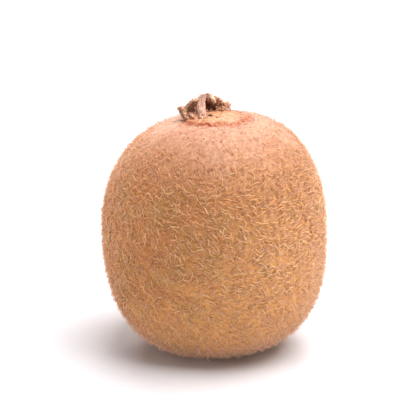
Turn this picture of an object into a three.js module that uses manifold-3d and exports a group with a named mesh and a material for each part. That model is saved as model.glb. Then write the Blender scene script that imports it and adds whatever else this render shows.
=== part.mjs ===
// A whole kiwi fruit, standing on its blossom end. Millimetres, +Z up, the side with the open calyx faces -Y.
//
// Four pieces: the fruit itself, the dried calyx on the rim of its stem scar, a torn strip of the picked
// stalk, and the dried styles in the dimple underneath. The last three are rooted in sockets in the fruit.

import * as THREE from "three";
import { mergeVertices } from "three/addons/utils/BufferGeometryUtils.js";
import Module from "manifold-3d";

const wasm = await Module();
wasm.setup();

// ---- Driving dimensions: millimetres, and radians for angles ----

const RAD = Math.PI / 180;

// The grown body before its rest spot is cut, as a superellipsoid: a squareness of 2 is an ellipse, and more is
// boxier.
const FRUIT = {
  width: 51.6,
  depth: 49.2,
  stemHeight: 28.8, // from the widest section up to the stem end
  blossomHeight: 28.5, // from the widest section down to the blossom end
  stemSquareness: 2.28,
  blossomSquareness: 2.7,
  lean: -2.1 * RAD, // a turn about +Y, so the stem end leans towards -X
  bend: 1.65, // both ends sit this far towards +X of the middle
  heel: 1.8, // the underside rises this much from the middle out to the +X side
  restCut: 0.8, // how much of the underside the flat rest spot takes off
};

// Broad swellings of the body. Each goes round the fruit `around` times, and is strongest where `at` says,
// as an angle from the stem end.
const SWELLINGS = [
  { height: 0.3, around: 3, turn: 130 * RAD, at: 55 * RAD },
  { height: 0.25, around: 5, turn: 40 * RAD, at: 80 * RAD },
  { height: 0.35, around: 4, turn: 210 * RAD, at: 120 * RAD },
];
const SWELLING_SPREAD = 40 * RAD;

// The scar where the flower and stalk sat: a low button in a shallow dish, with a crease round it.
const SCAR = {
  radius: 7.7,
  oval: 0.15, // its outline is this much longer along one line than a circle
  wave: 0.1, // and has five shallow waves of this height
  dishDepth: 1.6,
  dishRadius: 9.5,
  rise: 0.35,
  edge: 0.35, // how softly the button's side slopes
  creaseDepth: 0.55,
  creaseWidth: 0.65,
};

// The dimple at the blossom end, with a flat floor.
const DIMPLE = { depth: 2.0, radius: 4.0 };

// The calyx: what is left of the sepals stands on a band that follows the scar's rim.
const CALYX = {
  radius: 6.9, // of the band, from the scar's centre
  from: 62 * RAD, // the band's ends, anticlockwise from +X
  to: 199 * RAD,
  thickness: 0.95,
  root: 0.8, // how deep the band is sunk in the fruit
  rise: 0.5, // how far it stands above the fruit
  ridge: 0.15, // its top is a ridge this high
  taper: 0.3, // its ends are this much thinner and lower
  taperShare: 1 / 6, // over this share of its length
  sepalFoot: 0.1, // how far above the fruit the sepals' own sheets begin
  sepalThickness: 0.75,
  crumple: 0.25, // how far the sheets wave in and out near their tips
};

// Each sepal: the middle of its foot, anticlockwise from +X, its half width, its length from foot to tip, how
// far it leans out as it leaves the foot, how far it curls inwards from there to its tip, the share of its
// length by which its top is notched, and the share by which its clockwise side is shorter.
const SEPALS = [
  { at: 187 * RAD, halfWidth: 1.5, length: 3.4, lean: 0.9, curl: 0.7, notch: 0.3, slope: 0 },
  { at: 154 * RAD, halfWidth: 1.7, length: 4.8, lean: 0.6, curl: 2.1, notch: 0.25, slope: 0.1 },
  { at: 115 * RAD, halfWidth: 2.5, length: 5.3, lean: 0.55, curl: 2.2, notch: 0.2, slope: 0 },
  { at: 84 * RAD, halfWidth: 2.3, length: 4.7, lean: 0.45, curl: 2.0, notch: 0.25, slope: 0.5 },
];

// The strip of stalk: its centre line from root to tip, and its width and thickness.
const STRIP = {
  line: [
    [-2.9, -1.5, -0.9],
    [-3.1, -1.4, 0.4],
    [-3.6, -0.7, 1.7],
    [-3.7, 0.9, 3.3],
    [-3.3, 2.3, 4.2],
  ],
  footWidth: 3.2,
  width: 1.7,
  thickness: 0.75,
  bow: 0.15, // its middle bulges this much towards -Y
};

// The dried styles: a star of tapered spikes on a round pad.
const STYLES = {
  count: 9,
  padRadius: 1.2,
  padThickness: 0.5,
  root: 0.5,
  reach: 2.1, // from the axis to the tips
  drop: 0.4, // of the tips below the pad's middle
  footRadius: 0.42,
  tipRadius: 0.3,
  stray: 0.35, // each stands up to this share of a step from its even place
  shorter: 0.2, // and is up to this share shorter
};

const GAP = 0.3; // clear of a neighbour, all round a root
const SOCKET_TOP = 2; // a cut for a root goes this far past the fruit's surface
const SEED = 5;

// The mesh: segments round the fruit, and rings down it.
const AROUND = 72;
const SIDE_RINGS = 34;
const SCAR_RINGS = [1.8, 3.4, 4.8, 6.0, 6.8, 7.4, 8.0, 8.6, 9.4, 10.6]; // radii
const DIMPLE_RINGS = [6.4, 5.4, 4.7, 4.1, 3.5, 2.8, 1.9]; // radii

// ---- Helpers ----

// A stream of even random numbers from 0 to 1, the same on every run.
function seededRandom(seed) {
  let state = seed;
  return () => {
    state = (state * 16807) % 2147483647;
    return state / 2147483647;
  };
}

const bump = (distance, width) => Math.exp(-((distance / width) ** 2));
const radialXY = (angle, radius) => [Math.cos(angle) * radius, Math.sin(angle) * radius];

// A closed geometry as a solid that can be joined and cut.
function solid(geometry) {
  const bare = geometry.clone();
  bare.deleteAttribute("normal");
  bare.deleteAttribute("uv");
  const merged = mergeVertices(bare, 1e-4);
  return new wasm.Manifold(
    new wasm.Mesh({
      numProp: 3,
      vertProperties: merged.attributes.position.array,
      triVerts: new Uint32Array(merged.index.array),
    }),
  );
}

// The solid back as a three.js geometry.
function geometryOf(made) {
  const mesh = made.getMesh();
  const geometry = new THREE.BufferGeometry();
  geometry.setAttribute("position", new THREE.BufferAttribute(mesh.vertProperties, 3));
  geometry.setIndex(new THREE.BufferAttribute(mesh.triVerts, 1));
  geometry.computeVertexNormals();
  return geometry;
}

// A closed tube of rings, each a list of as many points, with a fan over the first and the last. The rings run
// anticlockwise as seen from the end they go to.
function loft(rings, firstPole, lastPole) {
  const count = rings[0].length;
  const points = [firstPole, ...rings.flat(), lastPole];
  const last = points.length - 1;
  const faces = [];
  for (let i = 0; i < count; i++) {
    const next = (i + 1) % count;
    faces.push(0, 1 + next, 1 + i);
    for (let ring = 0; ring + 1 < rings.length; ring++) {
      const low = 1 + ring * count;
      const high = low + count;
      faces.push(low + i, low + next, high + next, low + i, high + next, high + i);
    }
    faces.push(last, last - count + i, last - count + next);
  }
  const geometry = new THREE.BufferGeometry().setFromPoints(points);
  geometry.setIndex(faces);
  return geometry;
}

const middleOf = (ring) =>
  ring.reduce((sum, point) => sum.add(point), new THREE.Vector3()).divideScalar(ring.length);

// ---- The fruit's surface ----

// How far the body's outline is from its axis (x) and its widest section (y), as shares, at an angle from the
// stem end.
function outline(polar) {
  const squareness = polar < Math.PI / 2 ? FRUIT.stemSquareness : FRUIT.blossomSquareness;
  const [out, up] = [Math.abs(Math.sin(polar)), Math.abs(Math.cos(polar))];
  const scale = (out ** squareness + up ** squareness) ** (-1 / squareness);
  return { out: out * scale, up: Math.sign(Math.cos(polar)) * up * scale };
}

// The angle from the stem end at which the outline is a given distance from the axis.
function polarAt(radius, squareness) {
  const out = radius / (FRUIT.width / 2);
  return Math.atan2(out, (1 - out ** squareness) ** (1 / squareness));
}

function swelling(polar, azimuth) {
  return SWELLINGS.reduce(
    (sum, s) =>
      sum + s.height * Math.cos(s.around * azimuth + s.turn) * bump(polar - s.at, SWELLING_SPREAD),
    0,
  );
}

// The scar's outline: its radius at an angle round it.
const scarRadius = (azimuth) =>
  SCAR.radius + SCAR.oval * Math.cos(2 * azimuth) + SCAR.wave * Math.cos(5 * azimuth);

// How much the stem end's surface is raised at a distance from the axis.
function stemRelief(radius, azimuth) {
  const edge = scarRadius(azimuth);
  const button = 1 / (1 + Math.exp((radius - edge) / SCAR.edge));
  const dish = -SCAR.dishDepth * bump(radius, SCAR.dishRadius);
  const crease = -SCAR.creaseDepth * bump(radius - edge, SCAR.creaseWidth);
  return dish + SCAR.rise * button + crease;
}

// The whole body's lean and bend, for any point in it.
function leaned(point) {
  const bent = point.clone();
  bent.x += FRUIT.bend * (point.z / FRUIT.stemHeight) ** 2;
  return bent.applyAxisAngle(new THREE.Vector3(0, 1, 0), FRUIT.lean);
}

// A point of the skin, before it leans, at an angle from the stem end and an angle round it.
function skinPoint(polar, azimuth) {
  const { out, up } = outline(polar);
  const [x, y] = radialXY(azimuth, 1);
  const point = new THREE.Vector3(x * out * (FRUIT.width / 2), y * out * (FRUIT.depth / 2), 0);
  const radius = Math.hypot(point.x, point.y);
  if (up > 0) {
    point.z = up * FRUIT.stemHeight + stemRelief(radius, azimuth);
  } else {
    const side = point.x / (FRUIT.width / 2);
    point.z = up * FRUIT.blossomHeight + DIMPLE.depth * bump((radius / DIMPLE.radius) ** 2, 1);
    point.z += FRUIT.heel * side * up ** 2;
  }
  const swell = swelling(polar, azimuth) * out;
  return point.add(new THREE.Vector3(x * swell, y * swell, 0));
}

// The height of the stem end's surface, before it leans, at a distance from the axis.
const stemLevel = (radius, azimuth) =>
  skinPoint(polarAt(radius, FRUIT.stemSquareness), azimuth).z;

function fruitBody() {
  const first = polarAt(SCAR_RINGS.at(-1), FRUIT.stemSquareness);
  const last = Math.PI - polarAt(DIMPLE_RINGS[0], FRUIT.blossomSquareness);
  const polars = SCAR_RINGS.slice(0, -1).map((radius) => polarAt(radius, FRUIT.stemSquareness));
  for (let i = 0; i <= SIDE_RINGS; i++) polars.push(first + ((last - first) * i) / SIDE_RINGS);
  for (const radius of DIMPLE_RINGS.slice(1)) {
    polars.push(Math.PI - polarAt(radius, FRUIT.blossomSquareness));
  }
  // From the blossom end up, so that the rings turn the right way round.
  const rings = polars.reverse().map((polar) =>
    Array.from({ length: AROUND }, (_, i) => leaned(skinPoint(polar, (i / AROUND) * 2 * Math.PI))),
  );
  return solid(loft(rings, leaned(skinPoint(Math.PI, 0)), leaned(skinPoint(0, 0))));
}

// ---- The calyx ----

// The wall on which the sepals stand. It follows the scar's rim, and thins towards both ends. `extra` grows it
// on every side, and `above` is how far it stands above the fruit.
function band(extra, above) {
  const { radius, thickness, root, ridge, taper, taperShare } = CALYX;
  const from = CALYX.from - extra / radius;
  const to = CALYX.to + extra / radius;
  const steps = 24;
  const sections = Array.from({ length: steps + 1 }, (_, i) => {
    const share = i / steps;
    const azimuth = from + (to - from) * share;
    const full = 1 - taper * Math.max(0, 1 - Math.min(share, 1 - share) / taperShare) ** 2;
    const level = stemLevel(radius, azimuth);
    const half = (full * thickness) / 2 + extra;
    const corner = (side, height) =>
      leaned(new THREE.Vector3(...radialXY(azimuth, radius + side * half), level + height));
    const [low, top] = [-full * root - extra, full * above];
    const shoulder = top - ridge;
    return [corner(1, low), corner(-1, low), corner(-1, shoulder), corner(0, top), corner(1, shoulder)];
  });
  return solid(loft(sections, middleOf(sections[0]), middleOf(sections.at(-1))));
}

// One sepal: a curled, crumpled sheet of even thickness, closed all round. `across` runs from -1 to 1 and
// `along` from 0 at the foot to 1 at the tip.
function sepal(shape, random) {
  const columns = 10;
  const rows = 9;
  const phase = random() * 2 * Math.PI;
  const twist = 0.5 * (random() - 0.5);
  const foot = stemLevel(CALYX.radius, shape.at) + CALYX.sepalFoot;

  function middle(across, along) {
    const half = shape.halfWidth * (1 - 0.45 * along ** 3);
    const azimuth = shape.at + (across * half) / CALYX.radius;
    const notched = 1 - shape.notch * (0.5 * across ** 2 + 0.5 * Math.cos(3.4 * across + phase) ** 2);
    const length = shape.length * notched * (1 - (shape.slope * (1 - across)) / 2) * along;
    // The sheet's side view is an arc that starts along its lean and turns inwards.
    const turn = shape.curl * (1 + twist * across) * along;
    const chord = turn ? (length * Math.sin(turn / 2)) / (turn / 2) : length;
    const heading = shape.lean - turn / 2;
    const crumple = CALYX.crumple * along * Math.sin(3 * across + 4 * along + phase);
    const out = chord * Math.sin(heading) + crumple;
    return new THREE.Vector3(...radialXY(azimuth, CALYX.radius + out), foot + chord * Math.cos(heading));
  }

  function face(side) {
    const step = 0.02;
    return Array.from({ length: rows + 1 }, (_, row) =>
      Array.from({ length: columns + 1 }, (_, column) => {
        const [across, along] = [(2 * column) / columns - 1, row / rows];
        const back = along > 0.5 ? -step : step;
        const rise = middle(across, along + back).sub(middle(across, along)).divideScalar(back);
        const run = middle(across + step, along).sub(middle(across - step, along));
        const normal = rise.cross(run).normalize();
        const half = (side * CALYX.sepalThickness) / 2;
        return leaned(middle(across, along).addScaledVector(normal, half));
      }),
    );
  }

  // Each row of the two faces makes one flat ring round the sheet.
  const [outer, inner] = [face(1), face(-1)];
  const rings = outer.map((row, i) => [...inner[i], ...row.slice().reverse()]);
  return solid(loft(rings, middleOf(rings[0]), middleOf(rings.at(-1))));
}

function calyxBody() {
  const random = seededRandom(SEED);
  return SEPALS.reduce((joined, shape) => joined.add(sepal(shape, random)), band(0, CALYX.rise));
}

const calyxSocket = () => band(GAP, SOCKET_TOP);

// ---- The strip of stalk ----

// A flat strip along its line, widest at its foot, grown by `extra` on every side.
function strip(extra) {
  const level = stemLevel(Math.hypot(...STRIP.line[0].slice(0, 2)), Math.PI);
  const points = STRIP.line.map(([x, y, z]) => new THREE.Vector3(x, y, level + z));
  points[0].z -= extra;
  const curve = new THREE.CatmullRomCurve3(points);
  const steps = 12;
  const across = new THREE.Vector3(1, 0, 0);
  const rings = Array.from({ length: steps + 1 }, (_, i) => {
    const share = i / steps;
    const along = curve.getTangent(share);
    const thick = new THREE.Vector3().crossVectors(along, across).normalize();
    const width = STRIP.width + (STRIP.footWidth - STRIP.width) * (1 - share) ** 4 + 2 * extra;
    const half = STRIP.thickness / 2 + extra;
    const corner = (side, face) =>
      leaned(
        curve
          .getPoint(share)
          .addScaledVector(across, (side * width) / 2)
          .addScaledVector(thick, face * half - (side ? 0 : STRIP.bow)),
      );
    return [corner(-1, -1), corner(0, -1), corner(1, -1), corner(1, 1), corner(0, 1), corner(-1, 1)];
  });
  return solid(loft(rings, middleOf(rings[0]), middleOf(rings.at(-1))));
}

// ---- The dried styles ----

const padLevel = () => skinPoint(Math.PI, 0).z;

function pad(radius, above, below) {
  const shape = new THREE.CylinderGeometry(radius, radius, above + below, 20);
  shape.rotateX(Math.PI / 2);
  shape.translate(0, 0, padLevel() + (above - below) / 2);
  return leanedSolid(shape);
}

// A three.js geometry with every point leaned as the body is.
function leanedSolid(geometry) {
  const places = geometry.attributes.position;
  for (let i = 0; i < places.count; i++) {
    const moved = leaned(new THREE.Vector3().fromBufferAttribute(places, i));
    places.setXYZ(i, moved.x, moved.y, moved.z);
  }
  return solid(geometry);
}

function styleBody() {
  const random = seededRandom(SEED);
  const spikes = Array.from({ length: STYLES.count }, (_, i) => {
    const azimuth = ((i + STYLES.stray * random()) / STYLES.count) * 2 * Math.PI;
    const reach = STYLES.reach * (1 - STYLES.shorter * random());
    const spike = new THREE.CylinderGeometry(STYLES.tipRadius, STYLES.footRadius, reach, 6);
    spike.translate(0, reach / 2, 0);
    spike.rotateZ(-Math.PI / 2 - Math.atan2(STYLES.drop, reach));
    spike.rotateX(Math.PI / 2);
    spike.rotateZ(azimuth);
    spike.translate(0, 0, padLevel() - STYLES.padThickness);
    return leanedSolid(spike);
  });
  return spikes.reduce(
    (joined, spike) => joined.add(spike),
    pad(STYLES.padRadius, STYLES.root, STYLES.padThickness),
  );
}

const styleSocket = () => pad(STYLES.padRadius + GAP, STYLES.root + GAP, SOCKET_TOP);

// ---- The pieces, cut to each other ----

const body = fruitBody();
const restLevel = body.boundingBox().min[2] + FRUIT.restCut;
const room = 2 * (FRUIT.stemHeight + FRUIT.blossomHeight);
const aboveRest = new THREE.BoxGeometry(room, room, room).translate(0, 0, restLevel + room / 2);

const pieces = [
  {
    name: "fruit",
    made: body
      .intersect(solid(aboveRest))
      .subtract(calyxSocket())
      .subtract(strip(GAP))
      .subtract(styleSocket()),
    look: { color: 0xb98350, roughness: 0.8, metalness: 0 },
  },
  { name: "calyx", made: calyxBody(), look: { color: 0x8f6247, roughness: 0.9, metalness: 0 } },
  {
    name: "stalk_remnant",
    made: strip(0),
    look: { color: 0xe2c2ab, roughness: 0.85, metalness: 0 },
  },
  { name: "style_tuft", made: styleBody(), look: { color: 0x4b3220, roughness: 0.95, metalness: 0 } },
];

// ---- The scene graph: the box of the whole part stands with its base's centre on the origin ----

const kiwi = new THREE.Group();
const standing = new THREE.Group();
kiwi.add(standing);
for (const { name, made, look } of pieces) {
  const mesh = new THREE.Mesh(geometryOf(made), new THREE.MeshStandardMaterial(look));
  mesh.name = name;
  standing.add(mesh);
}
const box = new THREE.Box3().setFromObject(standing, true);
const middle = box.getCenter(new THREE.Vector3());
standing.position.set(-middle.x, -middle.y, -box.min.z);

export default kiwi;
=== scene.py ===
# %% [markdown]
# # A kiwi fruit, hair by hair
#
# This lesson dresses a packed kiwi fruit: a plain solid body with a scar button on top, a dried calyx, a
# torn strip of stalk, and the dried styles underneath. Each of them is replaced by a finer mesh of the
# same form, and then the skin grows its fuzz. Everything is made in code: formulas for the forms, numpy
# for the many thousands of hairs, and node trees for the finishes.

# %% Load the frame
import math

import bpy
import numpy as np
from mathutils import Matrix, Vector


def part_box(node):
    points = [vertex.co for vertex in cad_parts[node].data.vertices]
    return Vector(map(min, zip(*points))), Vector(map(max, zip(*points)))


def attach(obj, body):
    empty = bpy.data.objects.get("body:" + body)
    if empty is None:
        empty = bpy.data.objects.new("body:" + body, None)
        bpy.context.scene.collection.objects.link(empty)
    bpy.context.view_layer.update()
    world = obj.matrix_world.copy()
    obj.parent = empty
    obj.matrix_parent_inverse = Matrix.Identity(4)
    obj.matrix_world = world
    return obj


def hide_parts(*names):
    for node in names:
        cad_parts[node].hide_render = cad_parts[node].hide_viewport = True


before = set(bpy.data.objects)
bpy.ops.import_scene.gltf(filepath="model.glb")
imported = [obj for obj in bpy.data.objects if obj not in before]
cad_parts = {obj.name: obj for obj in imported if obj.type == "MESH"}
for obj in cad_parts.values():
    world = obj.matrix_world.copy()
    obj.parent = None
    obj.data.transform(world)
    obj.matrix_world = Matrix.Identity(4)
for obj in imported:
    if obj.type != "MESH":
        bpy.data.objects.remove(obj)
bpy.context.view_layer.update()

MM = 0.001
TURN = 2 * math.pi

# %% [markdown]
# ## The view
#
# A long lens, from a little above and from some way off, keeps the fruit's outline nearly free of
# perspective. The camera is placed by its angle over the floor and its distance. It is then aimed a little
# to the left of the fruit's middle and above it, which moves the fruit to the right and down in the
# picture. A shifted lens would do the same, but an aim is easier to follow.

# %% The camera
FRUIT_MIDDLE = Vector((0, 0, 28 * MM))
VIEW_HEIGHT = math.radians(17.2)
VIEW_DISTANCE = 393.6 * MM
LENS = 150
# How far the middle of the fruit stands from the middle of the view, measured at the fruit.
RIGHT_OF_MIDDLE, BELOW_MIDDLE = 3.4 * MM, 7.1 * MM


def build_camera():
    camera = bpy.data.objects.new("camera", bpy.data.cameras.new("camera"))
    bpy.context.scene.collection.objects.link(camera)
    back = Vector((0, -math.cos(VIEW_HEIGHT), math.sin(VIEW_HEIGHT)))
    up = Vector((0, math.sin(VIEW_HEIGHT), math.cos(VIEW_HEIGHT)))
    camera.location = FRUIT_MIDDLE + back * VIEW_DISTANCE
    aim = FRUIT_MIDDLE - Vector((RIGHT_OF_MIDDLE, 0, 0)) + up * BELOW_MIDDLE
    camera.rotation_euler = (aim - camera.location).to_track_quat("-Z", "Y").to_euler()
    camera.data.lens = LENS
    camera.data.clip_start = 0.01
    bpy.context.scene.camera = camera
    return camera


camera = build_camera()
print("camera at", [round(v / MM) for v in camera.location], "mm")

# %% [markdown]
# ## Writing shaders as arithmetic
#
# A node tree is a formula drawn as boxes. Typing the formula is shorter and easier to read, so the small
# class below wraps one output of a node and overloads Python's operators: `1 - mask` adds a Math node and
# hands back its result. Colours can't go through a Math node, which turns them grey, so they are mixed
# with `mix`. Every other node comes from one method, `node`, which takes the node's type, its settings,
# and its sockets.


# %% Arithmetic on a node's output
class Wire:
    """One output of a node, which arithmetic can be done on."""

    def __init__(self, finish, socket):
        self.finish, self.socket = finish, socket

    def maths(self, operation, first, second):
        return self.finish.node("ShaderNodeMath", {"operation": operation}, {0: first, 1: second})

    def __add__(self, other):
        return self.maths("ADD", self, other)

    def __sub__(self, other):
        return self.maths("SUBTRACT", self, other)

    def __rsub__(self, other):
        return self.maths("SUBTRACT", other, self)

    def __mul__(self, other):
        return self.maths("MULTIPLY", self, other)

    __radd__, __rmul__ = __add__, __mul__

    def between(self, low, high):
        """0 below low, 1 above high, and an even slope between them."""
        sockets = {"Value": self, "From Min": low, "From Max": high}
        return self.finish.node("ShaderNodeMapRange", {"clamp": True}, sockets)


print("a wire can", [name.strip("_") for name, value in vars(Wire).items() if callable(value)])

# %% [markdown]
# A finish is built from a few kinds of node: soft noise, scattered cells, numbers that the mesh holds, and
# mixes of two colours. All of them could be added by hand in the node editor. Here each kind gets a short
# method, so that a finish reads as a list of what lies over what. `matt` ends most of them, as nothing on
# a dry fruit shines.


# %% A finish under construction
class Finish:
    """A material that is being built, or a world where that is asked for."""

    def __init__(self, name, kind="materials"):
        self.made = getattr(bpy.data, kind).new(name)
        self.made.use_nodes = True
        self.tree = self.made.node_tree
        self.tree.nodes.clear()

    def node(self, kind, settings, sockets, output=0):
        made = self.tree.nodes.new(kind)
        for name, value in settings.items():
            setattr(made, name, value)
        for name, value in sockets.items():
            if isinstance(value, Wire):
                self.tree.links.new(value.socket, made.inputs[name])
            else:
                made.inputs[name].default_value = value
        return Wire(self, made.outputs[output]) if made.outputs else None

    def place(self):
        return self.node("ShaderNodeTexCoord", {}, {}, "Object")

    def stored(self, name):
        """A number that the mesh holds at each vertex."""
        return self.node("ShaderNodeAttribute", {"attribute_name": name}, {}, "Fac")

    def noise(self, size, detail, roughness=0.5):
        """Soft spots about this many millimetres across, from 0 to 1."""
        sockets = {"Vector": self.place(), "Scale": 1 / (size * MM)}
        sockets.update({"Detail": detail, "Roughness": roughness})
        return self.node("ShaderNodeTexNoise", {}, sockets)

    def cells(self, size, flatness=1.0):
        """The distance to the nearest of many scattered points. Under 1, flatness draws them out upwards."""
        factors = {0: self.place(), 1: (1, 1, flatness)}
        place = self.node("ShaderNodeVectorMath", {"operation": "MULTIPLY"}, factors)
        sockets = {"Vector": place, "Scale": 1 / (size * MM)}
        return self.node("ShaderNodeTexVoronoi", {}, sockets, "Distance")

    def mix(self, factor, first, second):
        """The first colour where the factor is 0, and the second where it is 1."""
        return self.node("ShaderNodeMix", {"data_type": "RGBA"}, {0: factor, 6: first, 7: second}, 2)

    def done(self, shader):
        self.node("ShaderNodeOutputMaterial", {}, {"Surface": shader})
        return self.made

    def matt(self, base, rough, relief, depth, strength, more=None):
        """The finished material. relief is a height that is only shaded, depth millimetres at its most."""
        bump = {"Height": relief, "Distance": depth * MM, "Strength": strength}
        sockets = {"Base Color": base, "Roughness": rough, "Normal": self.node("ShaderNodeBump", {}, bump)}
        return self.done(self.node("ShaderNodeBsdfPrincipled", {}, {**sockets, **(more or {})}))


print("a finish can", [name.strip("_") for name, value in vars(Finish).items() if callable(value)])

# %% [markdown]
# Colours are easiest to choose as a screen shows them, from 0 to 255. A shader wants them as amounts of
# light. The node editor converts them silently. In code `colour` does it, with the numbers of the curve
# that screens expect.


# %% Colours as amounts of light
def colour(red, green, blue):
    """A colour given as 0 to 255, as linear light for a shader."""
    shares = [v / 255 for v in (red, green, blue)]
    return tuple(v / 12.92 if v <= 0.04045 else ((v + 0.055) / 1.055) ** 2.4 for v in shares) + (1.0,)


print("a grey of 128 is", round(colour(128, 128, 128)[0], 3), "of full light")

# %% [markdown]
# ## The floor and the lamps
#
# Under one hard lamp the fuzz turns into black specks, so a small hairy fruit is lit softly from all
# round. The room is dim here, and the lamps do most of the work. The wide one overhead, a little to the
# right, lights the top and lays a soft shadow. One at each side and one in front stand close to the floor:
# they light the fruit's flanks and do little to the floor. Two more, low behind it, make the hairs at its
# outline glow, and the one at the back brightens the floor. The camera doesn't see any of them. The floor
# is a plain matt sheet of pale grey, which throws some light back under the fruit.

# %% Floor and lamps
FLOOR_SIZE = 3.0
WALLS, CEILING = 0.19, 0.28  # how strongly the room shines
WALLS_TO, CEILING_FROM = 0.3, 0.9  # where 0 is level and 1 is straight up
FLOOR_BEHIND = Vector((-0.1, 0.8, 0))
# Each lamp: its name, place, width, power in watts and what it aims at. Lengths are in metres.
LAMPS = [
    ("overhead", (0.19, -0.02, 0.58), 0.62, 8.8, FRUIT_MIDDLE),
    ("right_side", (0.45, -0.1, 0.045), 0.09, 0.5, FRUIT_MIDDLE),
    ("left_side", (-0.5, 0.05, 0.045), 0.09, 1.2, FRUIT_MIDDLE),
    ("front", (-0.08, -0.6, 0.045), 0.09, 0.75, FRUIT_MIDDLE),
    ("back", (-0.1, 0.9, 0.5), 0.6, 9.0, FLOOR_BEHIND),
    ("left_rim", (-0.34, 0.55, 0.05), 0.1, 1.0, FRUIT_MIDDLE),
    ("right_rim", (0.34, 0.55, 0.05), 0.1, 1.0, FRUIT_MIDDLE),
]


def build_floor():
    finish = Finish("white_sheet")
    speckle = finish.noise(4, 3)
    white = finish.mix(speckle, colour(204, 201, 203), colour(209, 206, 208))
    shader = finish.node("ShaderNodeBsdfPrincipled", {}, {"Base Color": white, "Roughness": 0.9})
    mesh = bpy.data.meshes.new("floor")
    half = FLOOR_SIZE / 2
    corners = [(-half, -half, 0), (half, -half, 0), (half, half, 0), (-half, half, 0)]
    mesh.from_pydata(corners, [], [(0, 1, 2, 3)])
    mesh.materials.append(finish.done(shader))
    floor = bpy.data.objects.new("floor", mesh)
    bpy.context.scene.collection.objects.link(floor)


def build_lamp(name, place, size, power, aim):
    lamp = bpy.data.objects.new(name, bpy.data.lights.new(name, "AREA"))
    bpy.context.scene.collection.objects.link(lamp)
    lamp.location = place
    lamp.rotation_euler = (aim - lamp.location).to_track_quat("-Z", "Y").to_euler()
    lamp.visible_camera = False
    lamp.data.size = size
    lamp.data.energy = power


def build_room(walls, ceiling):
    """A dim room whose ceiling shines more than its walls."""
    room = Finish("white_room", "worlds")
    heading = room.node("ShaderNodeTexCoord", {}, {}, "Generated")
    height = room.node("ShaderNodeSeparateXYZ", {}, {"Vector": heading}, "Z")
    strength = walls + (ceiling - walls) * height.between(WALLS_TO, CEILING_FROM)
    background = room.node("ShaderNodeBackground", {}, {"Color": (1, 1, 1, 1), "Strength": strength})
    room.node("ShaderNodeOutputWorld", {}, {"Surface": background})
    bpy.context.scene.world = room.made


build_floor()
build_room(WALLS, CEILING)
for lamp in LAMPS:
    build_lamp(*lamp)
bpy.context.scene.view_settings.view_transform = "Standard"
print(len(LAMPS), "lamps give", sum(lamp[3] for lamp in LAMPS), "watts")

# %% [markdown]
# ## The form of the fruit
#
# A kiwi fruit is a barrel with soft shoulders. It could be sculpted, but a superellipsoid gives it in a
# few numbers: its outline is an ellipse whose exponent is a little over 2, so that the ends are flatter
# and the sides straighter. The stem end sinks in a shallow dish round the scar, and the blossom end has a
# small dimple. The numbers below are the packed solid's own, in millimetres, so that the finer skin lies
# on it.

# %% The numbers of the form
WIDTH, DEPTH = 51.6, 49.2
STEM_HEIGHT, BLOSSOM_HEIGHT = 28.8, 28.5
STEM_SQUARENESS, BLOSSOM_SQUARENESS = 2.28, 2.7
LEAN, BEND, HEEL = math.radians(-2.1), 1.65, 1.8
# Each swelling: height, how often it comes round, its turn, and the angle from the stem end where it is most.
SWELLINGS = [(0.3, 3, 130, 55), (0.25, 5, 40, 80), (0.35, 4, 210, 120)]
SWELLING_SPREAD = math.radians(40)
SCAR_RADIUS, SCAR_OVAL, SCAR_WAVE = 7.7, 0.15, 0.1
DISH_DEPTH, DISH_RADIUS = 1.6, 9.5
BUTTON_RISE, BUTTON_EDGE = 0.35, 0.35
CREASE_DEPTH, CREASE_WIDTH = 0.55, 0.65
DIMPLE_DEPTH, DIMPLE_RADIUS = 2.0, 4.0
print("upright, the body is", STEM_HEIGHT + BLOSSOM_HEIGHT, "mm tall")


# %% [markdown]
# The form is written as a function from two angles to a point. The polar angle runs down from the stem end
# and the azimuth runs round the fruit. A mesh alone would do for the skin, but hairs, sepals and crumbs
# have to ask where the surface is at any place, and a function can answer that. The outline comes first.


# %% The outline
def hump(distance, width):
    return np.exp(-((distance / width) ** 2))


def outline(polar):
    """How far out and how far up the outline is at that polar angle, as shares of half the fruit."""
    squareness = np.where(polar < math.pi / 2, STEM_SQUARENESS, BLOSSOM_SQUARENESS)
    out, up = np.abs(np.sin(polar)), np.abs(np.cos(polar))
    scale = (out**squareness + up**squareness) ** (-1 / squareness)
    return out * scale, np.sign(np.cos(polar)) * up * scale


def polar_at(radius, squareness=STEM_SQUARENESS):
    """The angle from the end at which the outline is that far from the axis."""
    out = np.asarray(radius) / (WIDTH / 2)
    return np.arctan2(out, (1 - out**squareness) ** (1 / squareness))


print("at 45 degrees the outline is", outline(np.array(math.pi / 4))[0].round(2), "of the way out")

# %% [markdown]
# The rest is laid over the outline. The button rises inside the scar's edge, a crease runs round it, and
# both lie in the dish. The whole body leans and bends a little, as few fruits grow straight. Bending the
# finished mesh with a modifier would do it too, but then the function would no longer tell the truth.


# %% The surface as a function
def scar_edge(azimuth):
    return SCAR_RADIUS + SCAR_OVAL * np.cos(2 * azimuth) + SCAR_WAVE * np.cos(5 * azimuth)


def stem_relief(radius, azimuth):
    beyond = radius - scar_edge(azimuth)
    button = BUTTON_RISE / (1 + np.exp(np.clip(beyond / BUTTON_EDGE, -40, 40)))
    return button - DISH_DEPTH * hump(radius, DISH_RADIUS) - CREASE_DEPTH * hump(beyond, CREASE_WIDTH)


def leaned(points):
    """The body's lean and bend, in millimetres."""
    x, y, z = points[..., 0], points[..., 1], points[..., 2]
    x = x + BEND * (z / STEM_HEIGHT) ** 2
    across = x * math.cos(LEAN) + z * math.sin(LEAN)
    return np.stack([across, y, z * math.cos(LEAN) - x * math.sin(LEAN)], -1)


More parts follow.
